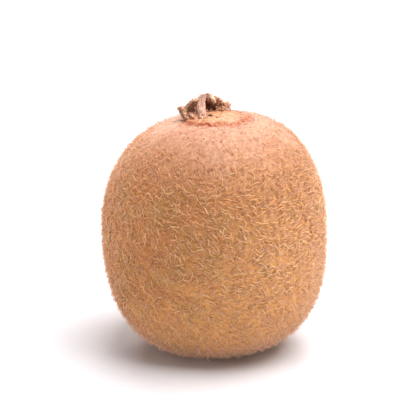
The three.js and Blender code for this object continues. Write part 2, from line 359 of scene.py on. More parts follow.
def upright_skin(polar, azimuth):
    """A point of the skin before it leans, in millimetres."""
    out, up = outline(polar)
    swell = 0
    for height, count, turn, at in SWELLINGS:
        round_it = np.cos(count * azimuth + math.radians(turn))
        swell = swell + height * round_it * hump(polar - math.radians(at), SWELLING_SPREAD)
    x = np.cos(azimuth) * out * WIDTH / 2
    y = np.sin(azimuth) * out * DEPTH / 2
    radius = np.hypot(x, y)
    stem = up * STEM_HEIGHT + stem_relief(radius, azimuth)
    dimple = DIMPLE_DEPTH * hump((radius / DIMPLE_RADIUS) ** 2, 1)
    blossom = up * BLOSSOM_HEIGHT + dimple + HEEL * 2 * x / WIDTH * up**2
    z = np.where(up > 0, stem, blossom)
    return np.stack([x + swell * out * np.cos(azimuth), y + swell * out * np.sin(azimuth), z], -1)


def stem_level(radius, azimuth):
    return upright_skin(polar_at(radius), np.asarray(azimuth, float))[..., 2]


print("the button's middle is", (STEM_HEIGHT - stem_level(0.0, 0.0)).round(2), "mm under the outline's top")

# %% [markdown]
# The packed fruit stands on the floor, and the formula's body stands round its own middle. The two are
# lined up once, by their boxes. After that any point of the skin comes with its own small compass, east,
# south and outward, which is what each hair needs to find its way over the surface.


# %% Where the form stands in the frame
def find_shift():
    """What moves the formula's body onto the packed fruit."""
    polar, azimuth = np.meshgrid(np.linspace(0, math.pi, 300), np.linspace(0, TURN, 360), indexing="ij")
    points = leaned(upright_skin(polar, azimuth)).reshape(-1, 3)
    low, high = (np.array(corner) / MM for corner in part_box("fruit"))
    middle = (low + high) / 2 - (points.min(0) + points.max(0)) / 2
    return np.array([middle[0], middle[1], high[2] - points[:, 2].max()])


SHIFT = find_shift()


def placed(points):
    """Upright points as points of the standing fruit, still in millimetres."""
    return leaned(points) + SHIFT


def unit(vectors):
    return vectors / np.linalg.norm(vectors, axis=-1, keepdims=True)


def skin_frame(polar, azimuth):
    """The standing skin's point, and its east, south and outward directions."""
    step = 1e-4
    polar = np.clip(polar, 2 * step, math.pi - 2 * step)
    at = placed(upright_skin(polar, azimuth))
    east = placed(upright_skin(polar, azimuth + step)) - placed(upright_skin(polar, azimuth - step))
    south = placed(upright_skin(polar + step, azimuth)) - placed(upright_skin(polar - step, azimuth))
    east, south = unit(east), unit(south)
    out = unit(np.cross(south, east))
    return at, east, unit(np.cross(east, out)), out


print("the form moves by", SHIFT.round(2), "mm")


# %% [markdown]
# ## Meshes from arrays
#
# Sixty thousand hairs are too many to add face by face. Blender can also take a mesh as flat arrays, which
# is much faster. The helper below takes points in millimetres, any mix of triangles and four-sided faces,
# and numbers to store at each vertex for the shaders.


# %% A piece from arrays
def build_piece(name, points, faces, material, replaces=(), stored=None, corners=None):
    """faces is a list of index arrays, of 3 or 4 columns. corners is the piece's own flat map."""
    mesh = bpy.data.meshes.new(name)
    flat = np.concatenate([f.reshape(-1) for f in faces]).astype(np.int32)
    sizes = np.concatenate([np.full(len(f), f.shape[1]) for f in faces]).astype(np.int32)
    mesh.vertices.add(len(points))
    mesh.vertices.foreach_set("co", (points * MM).astype(np.float32).reshape(-1))
    mesh.loops.add(len(flat))
    mesh.loops.foreach_set("vertex_index", flat)
    mesh.polygons.add(len(sizes))
    mesh.polygons.foreach_set("loop_start", np.concatenate([[0], np.cumsum(sizes)[:-1]]).astype(np.int32))
    mesh.polygons.foreach_set("loop_total", sizes)
    mesh.polygons.foreach_set("use_smooth", np.ones(len(sizes), bool))
    for title, values in (stored or {}).items():
        made = mesh.attributes.new(title, "FLOAT", "POINT")
        made.data.foreach_set("value", np.asarray(values, np.float32).reshape(-1))
    if corners is not None:
        chart = mesh.uv_layers.new(name="OFBake")
        chart.data.foreach_set("uv", corners.astype(np.float32).reshape(-1))
    mesh.update(calc_edges=True)
    mesh.validate()
    mesh.materials.append(material)
    piece = bpy.data.objects.new(name, mesh)
    bpy.context.scene.collection.objects.link(piece)
    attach(piece, "root")
    if replaces:
        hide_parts(*replaces)
    print(f"{name}: {int((sizes - 2).sum())} triangles")


print("a piece is given in millimetres, and each is stored as", MM, "metres")

# %% [markdown]
# Skin, sepals, crumbs, strip and styles are all closed tubes of rings, some of them very flat. One helper
# turns rings into a closed mesh, and two more carry numbers along and put several tubes in one piece.


# %% Closed tubes
def tube(rings):
    """The points and faces of a closed tube of rings, with a fan over its first and last ring."""
    count, around = rings.shape[:2]
    points = np.concatenate([rings[0].mean(0)[None], rings.reshape(-1, 3), rings[-1].mean(0)[None]])
    ring, i = np.meshgrid(np.arange(count - 1), np.arange(around), indexing="ij")
    here, there = 1 + ring * around, 1 + (ring + 1) * around
    after = (i + 1) % around
    sides = np.stack([here + i, here + after, there + after, there + i], -1).reshape(-1, 4)
    i = np.arange(around)
    after = (i + 1) % around
    last = 1 + count * around
    first_fan = np.stack([np.zeros_like(i), 1 + after, 1 + i], -1)
    last_fan = np.stack([np.full_like(i, last), last - around + i, last - around + after], -1)
    return points, [sides, first_fan, last_fan]


def tube_values(values):
    """Numbers given for each point of the rings, for a tube's points with its two ends."""
    return np.concatenate([[values[0].mean()], values.reshape(-1), [values[-1].mean()]])


def joined(parts):
    """Several (points, faces) as one."""
    starts = np.cumsum([0] + [len(points) for points, _ in parts])
    faces = [f + start for (_, part), start in zip(parts, starts) for f in part]
    return np.concatenate([points for points, _ in parts]), faces


print("a tube of 4 rings of 12 has", len(tube(np.zeros((4, 12, 3)))[0]), "points")

# %% [markdown]
# Nothing on a fruit is quite smooth or even. A noise texture could push a mesh about, but numpy can't read
# it, and hairs, marks and edges need the same kind of wobble. So the relief is a plain sum of waves,
# worked out from a point's place, and a seed makes it the same on every run.


# %% Soft random relief
WAVE_SIZES = (0.7, 1.5)  # as shares of the size that is asked for


def ripple(points, size, seed, waves=16):
    """A soft random relief, about -2 to 2, with swells of this many millimetres."""
    random = np.random.default_rng(seed)
    headings = unit(random.normal(size=(waves, 3))) * TURN / (size * random.uniform(*WAVE_SIZES, (waves, 1)))
    phases = random.uniform(0, TURN, waves)
    return np.cos(points @ headings.T + phases).sum(-1) / math.sqrt(waves / 2)


def from_middle(rings):
    """The direction from the middle of its ring to each point."""
    return unit(rings - rings.mean(1, keepdims=True))


def ripples(points, layers):
    """Several ripples on top of each other. Each layer is its height, its size and its seed."""
    return sum(height * ripple(points, size, seed) for height, size, seed in layers)


def smooth(values, low, high):
    """0 below low, 1 above high, and a soft step between them."""
    share = np.clip((values - low) / (high - low), 0, 1)
    return share * share * (3 - 2 * share)


print("a ripple at three places:", ripple(np.eye(3), 2, 1).round(2))

# %% [markdown]
# ## The skin
#
# The skin under the fuzz is thin, dry and olive brown. Round the scar it is pinkish and nearly bare. Low
# on the right front it is painted lighter and more golden, as painted light for what the floor throws back.
# The fuzz follows all of that, so these regions are functions too, each from 0 to 1. They could be painted
# by hand. As functions, one ragged edge serves the skin's colour and the hairs on it.

# %% Bare and pink regions, and the painted bounce light
BARE_TO, HAIRY_FROM = math.radians(28), math.radians(66)
BLUSH_TO, OLIVE_FROM = math.radians(30), math.radians(84)
FRONT = math.radians(-70)  # the side on which the bare shoulder reaches furthest down
FRONT_REACH = 0.1
RAGGED = [(0.03, 9, 3), (0.025, 2.5, 4)]
# The lower right front is painted lighter and more golden: painted light for what the floor throws back
# there.
BOUNCE_LIT_SIDE, BOUNCE_LIT_FROM = np.array([0.45, -0.66, -0.6]), np.array([0, 0, 28])
BOUNCE_LIT_EDGE, BOUNCE_LIT_HEART = 0.3, 0.9  # how far a place faces the golden side, where the gold begins and is full


def shaded_polar(polar, azimuth, points):
    """The angle from the stem end, made ragged, and greater on the side away from the front."""
    return polar + ripples(points, RAGGED) + FRONT_REACH * (1 - np.cos(azimuth - FRONT))


def bareness(polar, azimuth, points):
    """1 on the bare shoulder, and 0 where the fuzz is thick."""
    return 1 - smooth(shaded_polar(polar, azimuth, points), BARE_TO, HAIRY_FROM)


def blushing(polar, azimuth, points):
    """1 where the skin and its fuzz are pink, and 0 where they are olive and tan."""
    return 1 - smooth(shaded_polar(polar, azimuth, points), BLUSH_TO, OLIVE_FROM)


def painted_bounce_light(points):
    """1 in the middle of the side painted lighter for the floor's bounce light, and 0 on the far side."""
    return smooth(unit(points - BOUNCE_LIT_FROM) @ BOUNCE_LIT_SIDE, BOUNCE_LIT_EDGE, BOUNCE_LIT_HEART)


print("bare at 20, 45 and 70 degrees:", bareness(np.radians([20, 45, 70]), FRONT, np.zeros((3, 3))).round(2))

# %% [markdown]
# The button is a scar: corky, cream in the middle, rusty towards its rim, and cracked as it dried. The
# cracks could be cut into the mesh. Marking how far each point is from a short line is simpler, and the
# same mark then sinks the mesh and darkens the shader with painted shade. The last mark is no crack but
# a dark hole at the sepals' feet, also painted shade.

# %% The button's marks
STAIN_REACH, STAIN_AT = 0.9, math.radians(-50)  # there the button's dry colour reaches past its crease
# The cracks in the dry button, and last a dark hole by the sepals, all darkened with painted shade: from,
# to, and how wide, as seen from above.
CRACKS = [((-2.3, 0.9), (-1.3, 0.3), 0.5), ((-0.9, 0.0), (0.4, -1.6), 0.36), ((-4.7, 4.1), (-4.1, 4.5), 0.5)]
CRACK_WOBBLE, CRACK_HEART = [(0.06, 1.1, 13)], 0.4  # the heart is the share of its width that is darkest


def crack_marks(upright):
    """1 in the middle of a crack in the button, and 0 away from it."""
    marks = np.zeros(upright.shape[:2])
    wobble = ripples(upright, CRACK_WOBBLE)
    for start, end, width in CRACKS:
        start, line = np.array(start), np.subtract(end, start)
        share = np.clip(((upright[..., :2] - start) @ line) / (line @ line), 0, 1)
        away = np.linalg.norm(upright[..., :2] - start - share[..., None] * line, axis=-1)
        marks = np.maximum(marks, 1 - smooth(away + wobble, CRACK_HEART * width, width))
    return marks


def beyond_button(upright, azimuth):
    """How far each point is outside the button's dry colour, in millimetres."""
    stained = STAIN_REACH * np.maximum(0, np.cos(azimuth - STAIN_AT)) ** 6
    return np.hypot(upright[..., 0], upright[..., 1]) - scar_edge(azimuth) - stained


print("the button has", len(CRACKS), "cracks")

# %% [markdown]
# The skin is one closed mesh. Even rings would waste points on the smooth flanks, so the rings lie close
# together where the button, its crease and the dimple need them. Wrinkles too deep for a shader's bump are
# moved in the mesh itself. The mesh also stores the regions and marks, so that the shader can colour them.

# %% The skin's mesh
AROUND, FLANK_RINGS = 256, 124
# Where the close rings lie: from, to and step, in millimetres from the axis.
SCAR_RINGS, DIMPLE_RINGS = (0.3, 10.8, 0.24), (7.5, 0.3, -0.5)
# How far beyond the button's edge its colour fades, and where the ochre of its rim begins and is full.
BUTTON_FADE, RIMWARD_FADE = (-0.6, 0.3), (-4.2, -0.8)
CREASE_AT, CREASE_SPREAD, CREASE_RELIEF_SPREAD = 0.1, 0.95, 1.6
# The wrinkles of the whole skin, of the button, and of the crease with the skin beside it.
SKIN_WRINKLES = [(0.035, 1.3, 1), (0.05, 4, 2)]
BUTTON_WRINKLES = [(0.08, 1.8, 5), (0.04, 0.8, 6)]
CREASE_WRINKLES = [(0.09, 0.9, 7)]
CREASE_RUST, CREASE_GAPS = 0.75, [(0.25, 1.8, 8)]
CRACK_DEPTH = 0.3


def skin_polars():
    near_scar = polar_at(np.arange(*SCAR_RINGS))
    near_dimple = math.pi - polar_at(np.arange(*DIMPLE_RINGS), BLOSSOM_SQUARENESS)
    flanks = np.linspace(near_scar[-1], near_dimple[0], FLANK_RINGS)[1:-1]
    return np.concatenate([near_scar, flanks, near_dimple])


def build_skin(material):
    azimuths = np.linspace(0, TURN, AROUND, endpoint=False)
    polar, azimuth = np.meshgrid(skin_polars(), azimuths, indexing="ij")
    rings, _, _, out = skin_frame(polar, azimuth)
    upright = upright_skin(polar, azimuth)
    beyond = beyond_button(upright, azimuth)
    on_top = polar < math.pi / 2
    button = np.where(on_top, 1 - smooth(beyond, *BUTTON_FADE), 0)
    crease = hump(beyond - CREASE_AT, CREASE_SPREAD) * (CREASE_RUST + ripples(rings, CREASE_GAPS))
    crease = np.where(on_top, crease, 0)
    cracks = button * crack_marks(upright)
    relief = ripples(rings, SKIN_WRINKLES)
    relief += button * ripples(rings, BUTTON_WRINKLES) - CRACK_DEPTH * cracks
    beside = hump(beyond, CREASE_RELIEF_SPREAD) * ripples(rings, CREASE_WRINKLES)
    relief += np.where(on_top, beside, 0)
    rings = rings + out * relief[..., None]
    rings[..., 2] = np.maximum(rings[..., 2], 0)
    stored = {
        "button": button,
        "crease": np.clip(crease, 0, 1),
        "rimward": button * smooth(beyond, *RIMWARD_FADE),
        "cracks": cracks,
        "bare": bareness(polar, azimuth, rings),
        "blush": blushing(polar, azimuth, rings),
        "bounce_light": painted_bounce_light(rings),
    }
    # The rings run down from the stem end, so they are turned over to face outwards.
    points, faces = tube(rings[::-1])
    stored = {title: tube_values(values[::-1]) for title, values in stored.items()}
    build_piece("skin", points, faces, material, ["fruit"], stored)


print("the skin has", len(skin_polars()), "rings of", AROUND, "points")

# %% [markdown]
# The skin's colour is built from the large to the small: olive or tan in broad patches, a pink blush up on
# the shoulder, and brown specks and freckles where hairs have been rubbed off. An image could hold all of
# it, but noise and cells need no map and are sharp at any distance.


# %% The colour of the hairy skin
SPECK_SIZE, FRECKLE_SIZE, FRECKLE_FLATNESS = 0.55, 1.2, 0.5


def skin_colour(finish, grain):
    bare, blush = finish.stored("bare"), finish.stored("blush")
    blotch = finish.noise(6, 3).between(0.35, 0.65)
    olive = finish.mix(blotch, colour(178, 138, 74), colour(204, 134, 70))
    olive = finish.mix(grain * 0.4, olive, colour(158, 98, 50))
    # Painted light: the lower right front lighter and more golden, for the floor's bounce.
    olive = finish.mix(finish.stored("bounce_light") * 0.6, olive, colour(230, 168, 98))
    tan = finish.mix(grain, colour(194, 140, 84), colour(172, 112, 62))
    pink = finish.mix(blotch, colour(188, 144, 114), colour(180, 128, 98))
    pink = finish.mix(grain * 0.6, pink, colour(164, 104, 74))
    skin = finish.mix(blush.between(0.0, 0.5), olive, tan)
    skin = finish.mix(blush.between(0.4, 1.0), skin, pink)
    crowds = 0.2 + 0.8 * finish.noise(2.5, 2).between(0.4, 0.56)
    specks = finish.cells(SPECK_SIZE).between(0.34, 0.2) * crowds
    skin = finish.mix(specks * bare.between(0.1, 0.5) * 0.75, skin, colour(150, 82, 46))
    crowds = 0.3 + 0.7 * finish.noise(5, 2).between(0.42, 0.54)
    freckles = finish.cells(FRECKLE_SIZE, FRECKLE_FLATNESS).between(0.3, 0.17) * crowds
    return finish.mix(freckles * bare.between(0.05, 0.35) * 0.85, skin, colour(134, 64, 34))


print("specks are spread", SPECK_SIZE, "mm apart, and freckles", FRECKLE_SIZE, "mm")

# %% [markdown]
# Over it come the cream button with its ochre rim, then the rusty crease, and last the cracks, darkened
# with painted shade. Fuzz too fine to model scatters light at a grazing angle. More hairs would do that
# too, at a great cost, so the shader's sheen stands for them.


# %% The skin's finish
def button_colour(finish):
    rimward = finish.stored("rimward")
    flakes, crumbs = finish.noise(1.4, 3), finish.noise(0.5, 3, 0.6)
    cream = finish.mix(flakes.between(0.35, 0.65), colour(206, 156, 114), colour(186, 128, 84))
    cream = finish.mix(crumbs.between(0.5, 0.62) * 0.7, cream, colour(144, 80, 46))
    ochre = finish.mix(crumbs.between(0.4, 0.58), colour(188, 112, 62), colour(134, 58, 30))
    cream = finish.mix(rimward * (0.5 + 0.5 * flakes.between(0.4, 0.54)), cream, ochre)
    specks = finish.cells(0.9).between(0.24, 0.12)
    cream = finish.mix(specks * (0.25 + 0.75 * rimward) * 0.8, cream, colour(112, 54, 30))
    rust = finish.mix(crumbs.between(0.35, 0.55), colour(196, 112, 70), colour(136, 54, 28))
    return cream, rust


def skin_finish():
    finish = Finish("kiwi_skin")
    grain = finish.noise(0.7, 3).between(0.35, 0.65)
    cream, rust = button_colour(finish)
    skin = finish.mix(finish.stored("button"), skin_colour(finish, grain), cream)
    skin = finish.mix(finish.stored("crease") * 0.9, skin, rust)
    # Painted shade: the cracks darkened nearly to black.
    skin = finish.mix(finish.stored("cracks").between(0.2, 0.6), skin, colour(60, 32, 22))
    rough = 0.62 + 0.2 * grain - 0.08 * finish.stored("bare")
    pores = finish.noise(0.45, 4, 0.6) + finish.cells(0.9)
    bloom = {"Sheen Weight": 0.65, "Sheen Roughness": 0.35, "Sheen Tint": colour(255, 222, 204)}
    return finish.matt(skin, rough, pores, 0.12, 0.6, bloom)


build_skin(skin_finish())

# %% [markdown]
# ## Growing hair as real meshes
#
# The fuzz is what makes a kiwi fruit. Hair curves would be quick, but no mesh is left of them when the
# fruit is passed on. So each hair here is a tiny closed prism with three sides that tapers to a point. Its
# middle line is drawn on the surface: it starts along a heading, turns by an angle on the way, and rises
# by a given height. numpy works out all the hairs at once.

# %% A hair's middle line
SINK = 0.12  # how far a root is under the surface
STILL = 1e-9  # keeps a direction from being nothing over nothing
# A standing hair rises by this power of the way along. A lying one follows this stretch of a half wave.
STANDING, LYING_FROM, LYING_SPAN = 0.85, 0.06, 0.8


def middle_lines(surface, shape, rings, lifted):
    """Each hair's middle line, and the same line as steps east and south on the surface, in millimetres."""
    at, east, south, out = surface
    share = np.linspace(0, 1, rings + 1)
    heading, turn, curl, length, rise = (
        shape[key][:, None] for key in ("heading", "turn", "curl", "length", "rise")
    )
    angle = heading + turn * share + curl * np.sin(TURN * share)
    steps = np.stack([np.cos(angle[:, 1:]), np.sin(angle[:, 1:])], -1) * (length / rings)[..., None]
    steps = np.cumsum(np.pad(steps, ((0, 0), (1, 0), (0, 0))), axis=1)
    lying = np.sin(math.pi * (LYING_FROM + LYING_SPAN * share))
    arch = share**STANDING if lifted else lying
    height = np.where(share == 0, -SINK, rise * arch)
    line = at[:, None] + east[:, None] * steps[..., :1] + south[:, None] * steps[..., 1:]
    return line + out[:, None] * height[..., None], steps


print("a root is", SINK, "mm under the skin")

# %% [markdown]
# A line has no thickness, so three points are set round it at each step, and the tip is a single point.
# Three sides are the fewest that make a closed body, and at this size a rounder hair would look no
# different.


# %% Prisms round the lines
# How far a hair thins towards its tip, how wide its root is, and how far along it is full.
TIP_TAPER, ROOT_SHARE, FULL_FROM = 0.55, 0.6, 0.3


def prisms(line, out, width, flatness):
    """Closed three-sided prisms round the lines, with a point at the end."""
    count, rings = line.shape[0], line.shape[1] - 1
    ahead = unit(np.gradient(line, axis=1))[:, :rings]
    side = unit(np.cross(ahead, np.broadcast_to(out[:, None], ahead.shape)) + STILL)
    up = np.cross(side, ahead)
    share = np.arange(rings) / rings
    swell = ROOT_SHARE + (1 - ROOT_SHARE) * smooth(share, 0.0, FULL_FROM)
    taper = (1 - TIP_TAPER * share**1.5) * swell
    half = (width[:, None] / 2 * taper)[..., None]
    angles = math.pi / 2 + np.arange(3) * TURN / 3
    corners = []
    for angle in angles:
        away = side * math.cos(angle) + up * math.sin(angle) * flatness
        corners.append(line[:, :rings] + away * half)
    return np.concatenate([np.stack(corners, 2).reshape(count, rings * 3, 3), line[:, -1:]], 1)


def prism_faces(count, rings):
    ring, corner = np.meshgrid(np.arange(rings - 1), np.arange(3), indexing="ij")
    after = (corner + 1) % 3
    low, high = 3 * ring, 3 * ring + 3
    sides = np.stack([low + corner, low + after, high + after, high + corner], -1).reshape(-1, 4)
    corner = np.arange(3)
    tip = np.stack([3 * rings - 3 + corner, 3 * rings - 3 + (corner + 1) % 3, np.full(3, 3 * rings)], -1)
    base = np.array([[2, 1, 0]])
    first = (np.arange(count) * (3 * rings + 1))[:, None, None]
    return [(part + first).reshape(-1, part.shape[1]) for part in (sides, tip, base)]


print("a hair of 5 rings has", sum(len(f) * (f.shape[1] - 2) for f in prism_faces(1, 5)), "triangles")

# %% [markdown]
# When a finish is baked, it becomes a picture that is wrapped round the piece, and every face needs a
# place on it. Unwrapping thousands of hairs would scatter them. Here each hair is laid out as three narrow
# ribbons near the place of its root, so that neighbours share their colours.

# %% The hairs' own map
RIBBON = 0.8  # how wide each of the three ribbons is, as a share of the hair's width
LANES = (-1.5, -0.5, 0.5)


def ribbon_map(steps, width, chart, scale, rings):
    """The corners of every hair's faces on its own map."""
    ahead = unit(np.gradient(steps, axis=1) + STILL)
    across = np.stack([-ahead[..., 1], ahead[..., 0]], -1) * (width[:, None, None] * RIBBON)

    def at(ring, lane):
        return chart + (steps[:, ring] + across[:, ring] * lane) * scale

    sides = []
    for ring in range(rings - 1):
        for lane in LANES:
            sides += [at(ring, lane), at(ring, lane + 1), at(ring + 1, lane + 1), at(ring + 1, lane)]
    tips = []
    for lane in LANES:
        tips += [at(rings - 1, lane), at(rings - 1, lane + 1), at(rings, lane + 0.5)]
    base = [at(0, 1.5), at(1, 0.0), at(0, -1.5)]
    return np.concatenate([np.stack(part, 1).reshape(-1, 2) for part in (sides, tips, base)])


print("a hair is", len(LANES), "ribbons wide on the map")

# %% [markdown]
# Now the parts come together. A hair that lies on the fruit's foot would poke into the floor, so its
# points are kept a little above it. Each vertex stores how near it is to the tip, and each hair its tone.

# %% A piece of hair
FLOOR_CLEAR = 0.03


def build_hair(name, surface, shape, chart, scale, rings, material, slot, stored, lifted, flatness):
    """One piece of hair. shape holds each hair's heading, turn, curl, length, rise, width and tone."""
    line, steps = middle_lines(surface, shape, rings, lifted)
    points = prisms(line, surface[3], shape["width"], flatness).reshape(-1, 3)
    points[:, 2] = np.maximum(points[:, 2], FLOOR_CLEAR)
    count = len(line)
    held = {"tip": np.tile(np.append(np.repeat(np.arange(rings) / rings, 3), 1.0), count)}
    stored = {"tone": shape["tone"], **stored}
    held.update({title: np.repeat(values, 3 * rings + 1) for title, values in stored.items()})
    corners = ribbon_map(steps, shape["width"], chart, scale, rings)
    build_piece(name, points, prism_faces(count, rings), material, (), held, corners)


print("no hair comes nearer to the floor than", FLOOR_CLEAR, "mm")

# %% [markdown]
# ## Three coats of fuzz
#
# Look closely at the fruit and the fuzz is three coats. Flat curly wisps lie matted on the skin, each of
# them a few hairs stuck together, with olive skin between them. A fine short down fills the gaps. Longer
# pale hairs stand up through both, and they show most at the outline, where the light comes through them.
# Near the scar the wisps are gone and the other two are thin. Roots set at random leave holes and heaps,
# so they follow a sunflower's spiral instead, which spaces them evenly, with a little stray.

# %% Spreading the roots
GOLDEN_TURN = math.pi * (3 - math.sqrt(5))
ROOT_STRAY = 0.02


def rooted(count, seed):
    """Even places for roots over the whole skin: angles, points, and how bare the skin is there."""
    polars = np.linspace(0.001, math.pi - 0.001, 2000)
    out, _ = outline(polars)
    path = placed(upright_skin(polars, np.zeros_like(polars)))
    steps = np.linalg.norm(np.diff(path, axis=0), axis=1)
    area = np.concatenate([[0], np.cumsum(steps * (out[1:] + out[:-1]))])
    random = np.random.default_rng(seed)
    share = (np.arange(count) + random.uniform(0, 1, count)) / count
    polar = np.interp(share * area[-1], area, polars)
    azimuth = (np.arange(count) * GOLDEN_TURN + random.normal(0, ROOT_STRAY, count)) % TURN
    at = placed(upright_skin(polar, azimuth))
    return polar, azimuth, at, bareness(polar, azimuth, at)


print("nine roots are", rooted(9, 0)[2][:, 2].round(1), "mm above the floor")

# %% [markdown]
# Fuzz doesn't lie at random. It lies mostly one way, with swirls. Combing it by hand would take an artist,
# so one function gives the heading at any place, and the three coats lie alike. Each coat is also cut into
# sectors, because one mesh of all its hairs would be too heavy.

# %% A coat in sectors
LIE, LIE_TURN, LIE_AT = 0.5, 0.6, 0.2  # the heading, and how much and where it turns round the fruit
SWIRLS = [(0.4, 14, 31), (0.4, 5, 33)]
SECTORS = 3
MAP_MARGIN = 0.04
PIECE_SPAN = 85  # the length from the stem end to the blossom end over the skin, in millimetres


def combed(at, azimuth):
    """The heading that the fuzz takes there, as an angle from east to south."""
    return LIE - LIE_TURN * np.cos(azimuth + LIE_AT) + ripples(at, SWIRLS)


def build_coat(name, polar, azimuth, kept, shape, rings, material, lifted, flatness):
    """The hairs that are kept, in sectors, each a piece of its own."""
    at = placed(upright_skin(polar, azimuth))
    stored = {"blush": blushing(polar, azimuth, at), "bounce_light": painted_bounce_light(at)}
    sector = np.minimum((azimuth / TURN * SECTORS).astype(int), SECTORS - 1)
    spread = 1 - 2 * MAP_MARGIN
    for number in range(SECTORS):
        here = kept & (sector == number)
        across = azimuth[here] / TURN * SECTORS - number
        build_hair(
            f"{name}_{number + 1}",
            skin_frame(polar[here], azimuth[here]),
            {key: values[here] for key, values in shape.items()},
            MAP_MARGIN + spread * np.stack([across, polar[here] / math.pi], -1),
            spread / PIECE_SPAN,
            rings,
            material,
            "skin",
            {key: values[here] for key, values in stored.items()},
            lifted,
            flatness,
        )


print("each coat is cut into", SECTORS, "sectors")

# %% [markdown]
# No two hairs are alike, so every hair draws its own turn, curl, length, rise, width and tone. The draws
# could be written out for each kind of hair, but they differ only in their ranges, so one function makes
# them. Each coat then changes them where the skin is bare or low on the fruit.


# %% What each hair draws
def drawn(random, headings, bends, lengths, rises, widths):
    """The shape of each hair. bends are the usual sizes of its turn and its curl, as angles."""
    shape, count = {"heading": headings}, len(headings)
    for key, bend in zip(("turn", "curl"), bends):
        shape[key] = random.normal(0, bend, count)
    for key, span in zip(("length", "rise", "width", "tone"), (lengths, rises, widths, (0, 1))):
        shape[key] = random.uniform(*span, count)
    return shape


trial = drawn(np.random.default_rng(0), np.zeros(3), (1, 1), (0.5, 1), (0.5, 1), (0.1, 0.2))
print("three hairs draw lengths of", trial["length"].round(2), "mm")

# %% [markdown]
# A hair is not one colour. It is darker at the root, its tone differs from that of its neighbour, and the
# colour drifts over the fruit in patches, from golden to pink. On the lower right front it is painted
# lighter, as painted light for the floor's bounce. Light also passes through it, which a second shader
# stands for: a share of the light that lands on one side leaves by the other.

# %% The hair's finish
PATCH_SIZE = 5


def hair_finish(name, root, middle, light, pale, glow, sheen=0.0):
    """glow is the share of the light that passes through the hair, and sheen the bloom at its edges."""
    finish = Finish(name)
    tip, tone, blush = finish.stored("tip"), finish.stored("tone"), finish.stored("blush")
    patch = finish.noise(PATCH_SIZE, 3).between(0.3, 0.7)
    body = finish.mix(tone, middle, light)
    body = finish.mix(patch * 0.35, body, middle)
    # Painted light: lighter hairs on the lower right front, for the floor's bounce.
    body = finish.mix(finish.stored("bounce_light") * 0.45, body, light)
    body = finish.mix(blush * 0.8, body, pale)
    hair = finish.mix(tip.between(0.0, 0.3), finish.mix(blush, root, pale), body)
    sockets = {"Base Color": hair, "Roughness": 0.55 + 0.25 * tone}
    sockets.update({"Sheen Weight": sheen, "Sheen Roughness": 0.5, "Sheen Tint": colour(255, 228, 212)})
    shader = finish.node("ShaderNodeBsdfPrincipled", {}, sockets)
    through = finish.node("ShaderNodeBsdfTranslucent", {}, {"Color": hair})
    return finish.done(finish.node("ShaderNodeMixShader", {}, {0: glow, 1: shader, 2: through}))


print("the hair's colour drifts in patches of about", PATCH_SIZE, "mm")

# %% [markdown]
# First the matted wisps. They are broad and flat, and bend twice, so they get five rings each. Low on the
# fruit they are shorter, thinner and curlier, and on the shoulder they end. Single hairs stuck together
# would look no better from here and need many times the faces.

# %% The matted wisps
WISPS, WISP_RINGS, WISP_SEED = 9500, 5, 20
WISP_LENGTHS, WISP_RISES, WISP_WIDTHS = (1.3, 3.3), (0.15, 0.7), (0.17, 0.42)
WISP_STRAY, WISP_BENDS, WISP_FLATNESS = 0.5, (0.4, 0.35), 0.6
# How much shorter, thinner and rarer the wisps are on the bare shoulder, and shorter and thinner low down.
WISP_BARE_SHORTER, WISP_BARE_THINNER, WISP_BARE_RARER = 0.4, 0.55, 1.02
WISP_LOW_SHORTER, WISP_LOW_THINNER = 0.25, 0.5
LOW_FROM, LOW_TO = 1.65, 2.4  # polar angles


def grow_wisps(material):
    random = np.random.default_rng(WISP_SEED)
    polar, azimuth, at, bare = rooted(WISPS, WISP_SEED)
    low = smooth(polar, LOW_FROM, LOW_TO)
    headings = combed(at, azimuth) + random.normal(0, WISP_STRAY, WISPS)
    shape = drawn(random, headings, WISP_BENDS, WISP_LENGTHS, WISP_RISES, WISP_WIDTHS)
    shape["curl"] *= 1 + low
    shape["length"] *= 1 - WISP_LOW_SHORTER * low - WISP_BARE_SHORTER * bare
    shape["width"] *= 1 - WISP_LOW_THINNER * low - WISP_BARE_THINNER * bare
    kept = random.uniform(size=WISPS) > bare * WISP_BARE_RARER
    build_coat("matted_hair", polar, azimuth, kept, shape, WISP_RINGS, material, False, WISP_FLATNESS)


wisp_finish = hair_finish(
    "matted_hair",
    root=colour(180, 120, 66),
    middle=colour(240, 172, 102),
    light=colour(255, 226, 172),
    pale=colour(226, 172, 128),
    glow=0.3,
)
grow_wisps(wisp_finish)

# %% [markdown]
# The down is short, thin and everywhere but on the button. Its hairs stand about as much as they lie, and
# small tufts of them are taller than their neighbours. There are very many, so each has two rings and a
# tip, which is enough at their size.

# %% The fine down
DOWN, DOWN_RINGS, DOWN_SEED = 39000, 2, 21
DOWN_LENGTHS, DOWN_RISES, DOWN_WIDTHS = (0.3, 0.95), (0.4, 0.82), (0.07, 0.12)
DOWN_STRAY, DOWN_BENDS = 0.6, (0.6, 0.3)
DOWN_BARE_LOWER, DOWN_BARE_THINNER, DOWN_BARE_RARER = 0.45, 0.3, 0.65
DOWN_TUFTS, DOWN_SWIRLS = [(0.3, 1.4, 41)], [(0.9, 1.8, 43)]
DOWN_FROM_SCAR = 0.9  # the down begins this far outside the button


def clear_of_scar(polar, azimuth):
    """True for the roots that are far enough from the button."""
    upright = upright_skin(polar, azimuth)
    beyond = np.hypot(upright[:, 0], upright[:, 1]) - scar_edge(azimuth)
    return (beyond > DOWN_FROM_SCAR) | (polar > math.pi / 2)


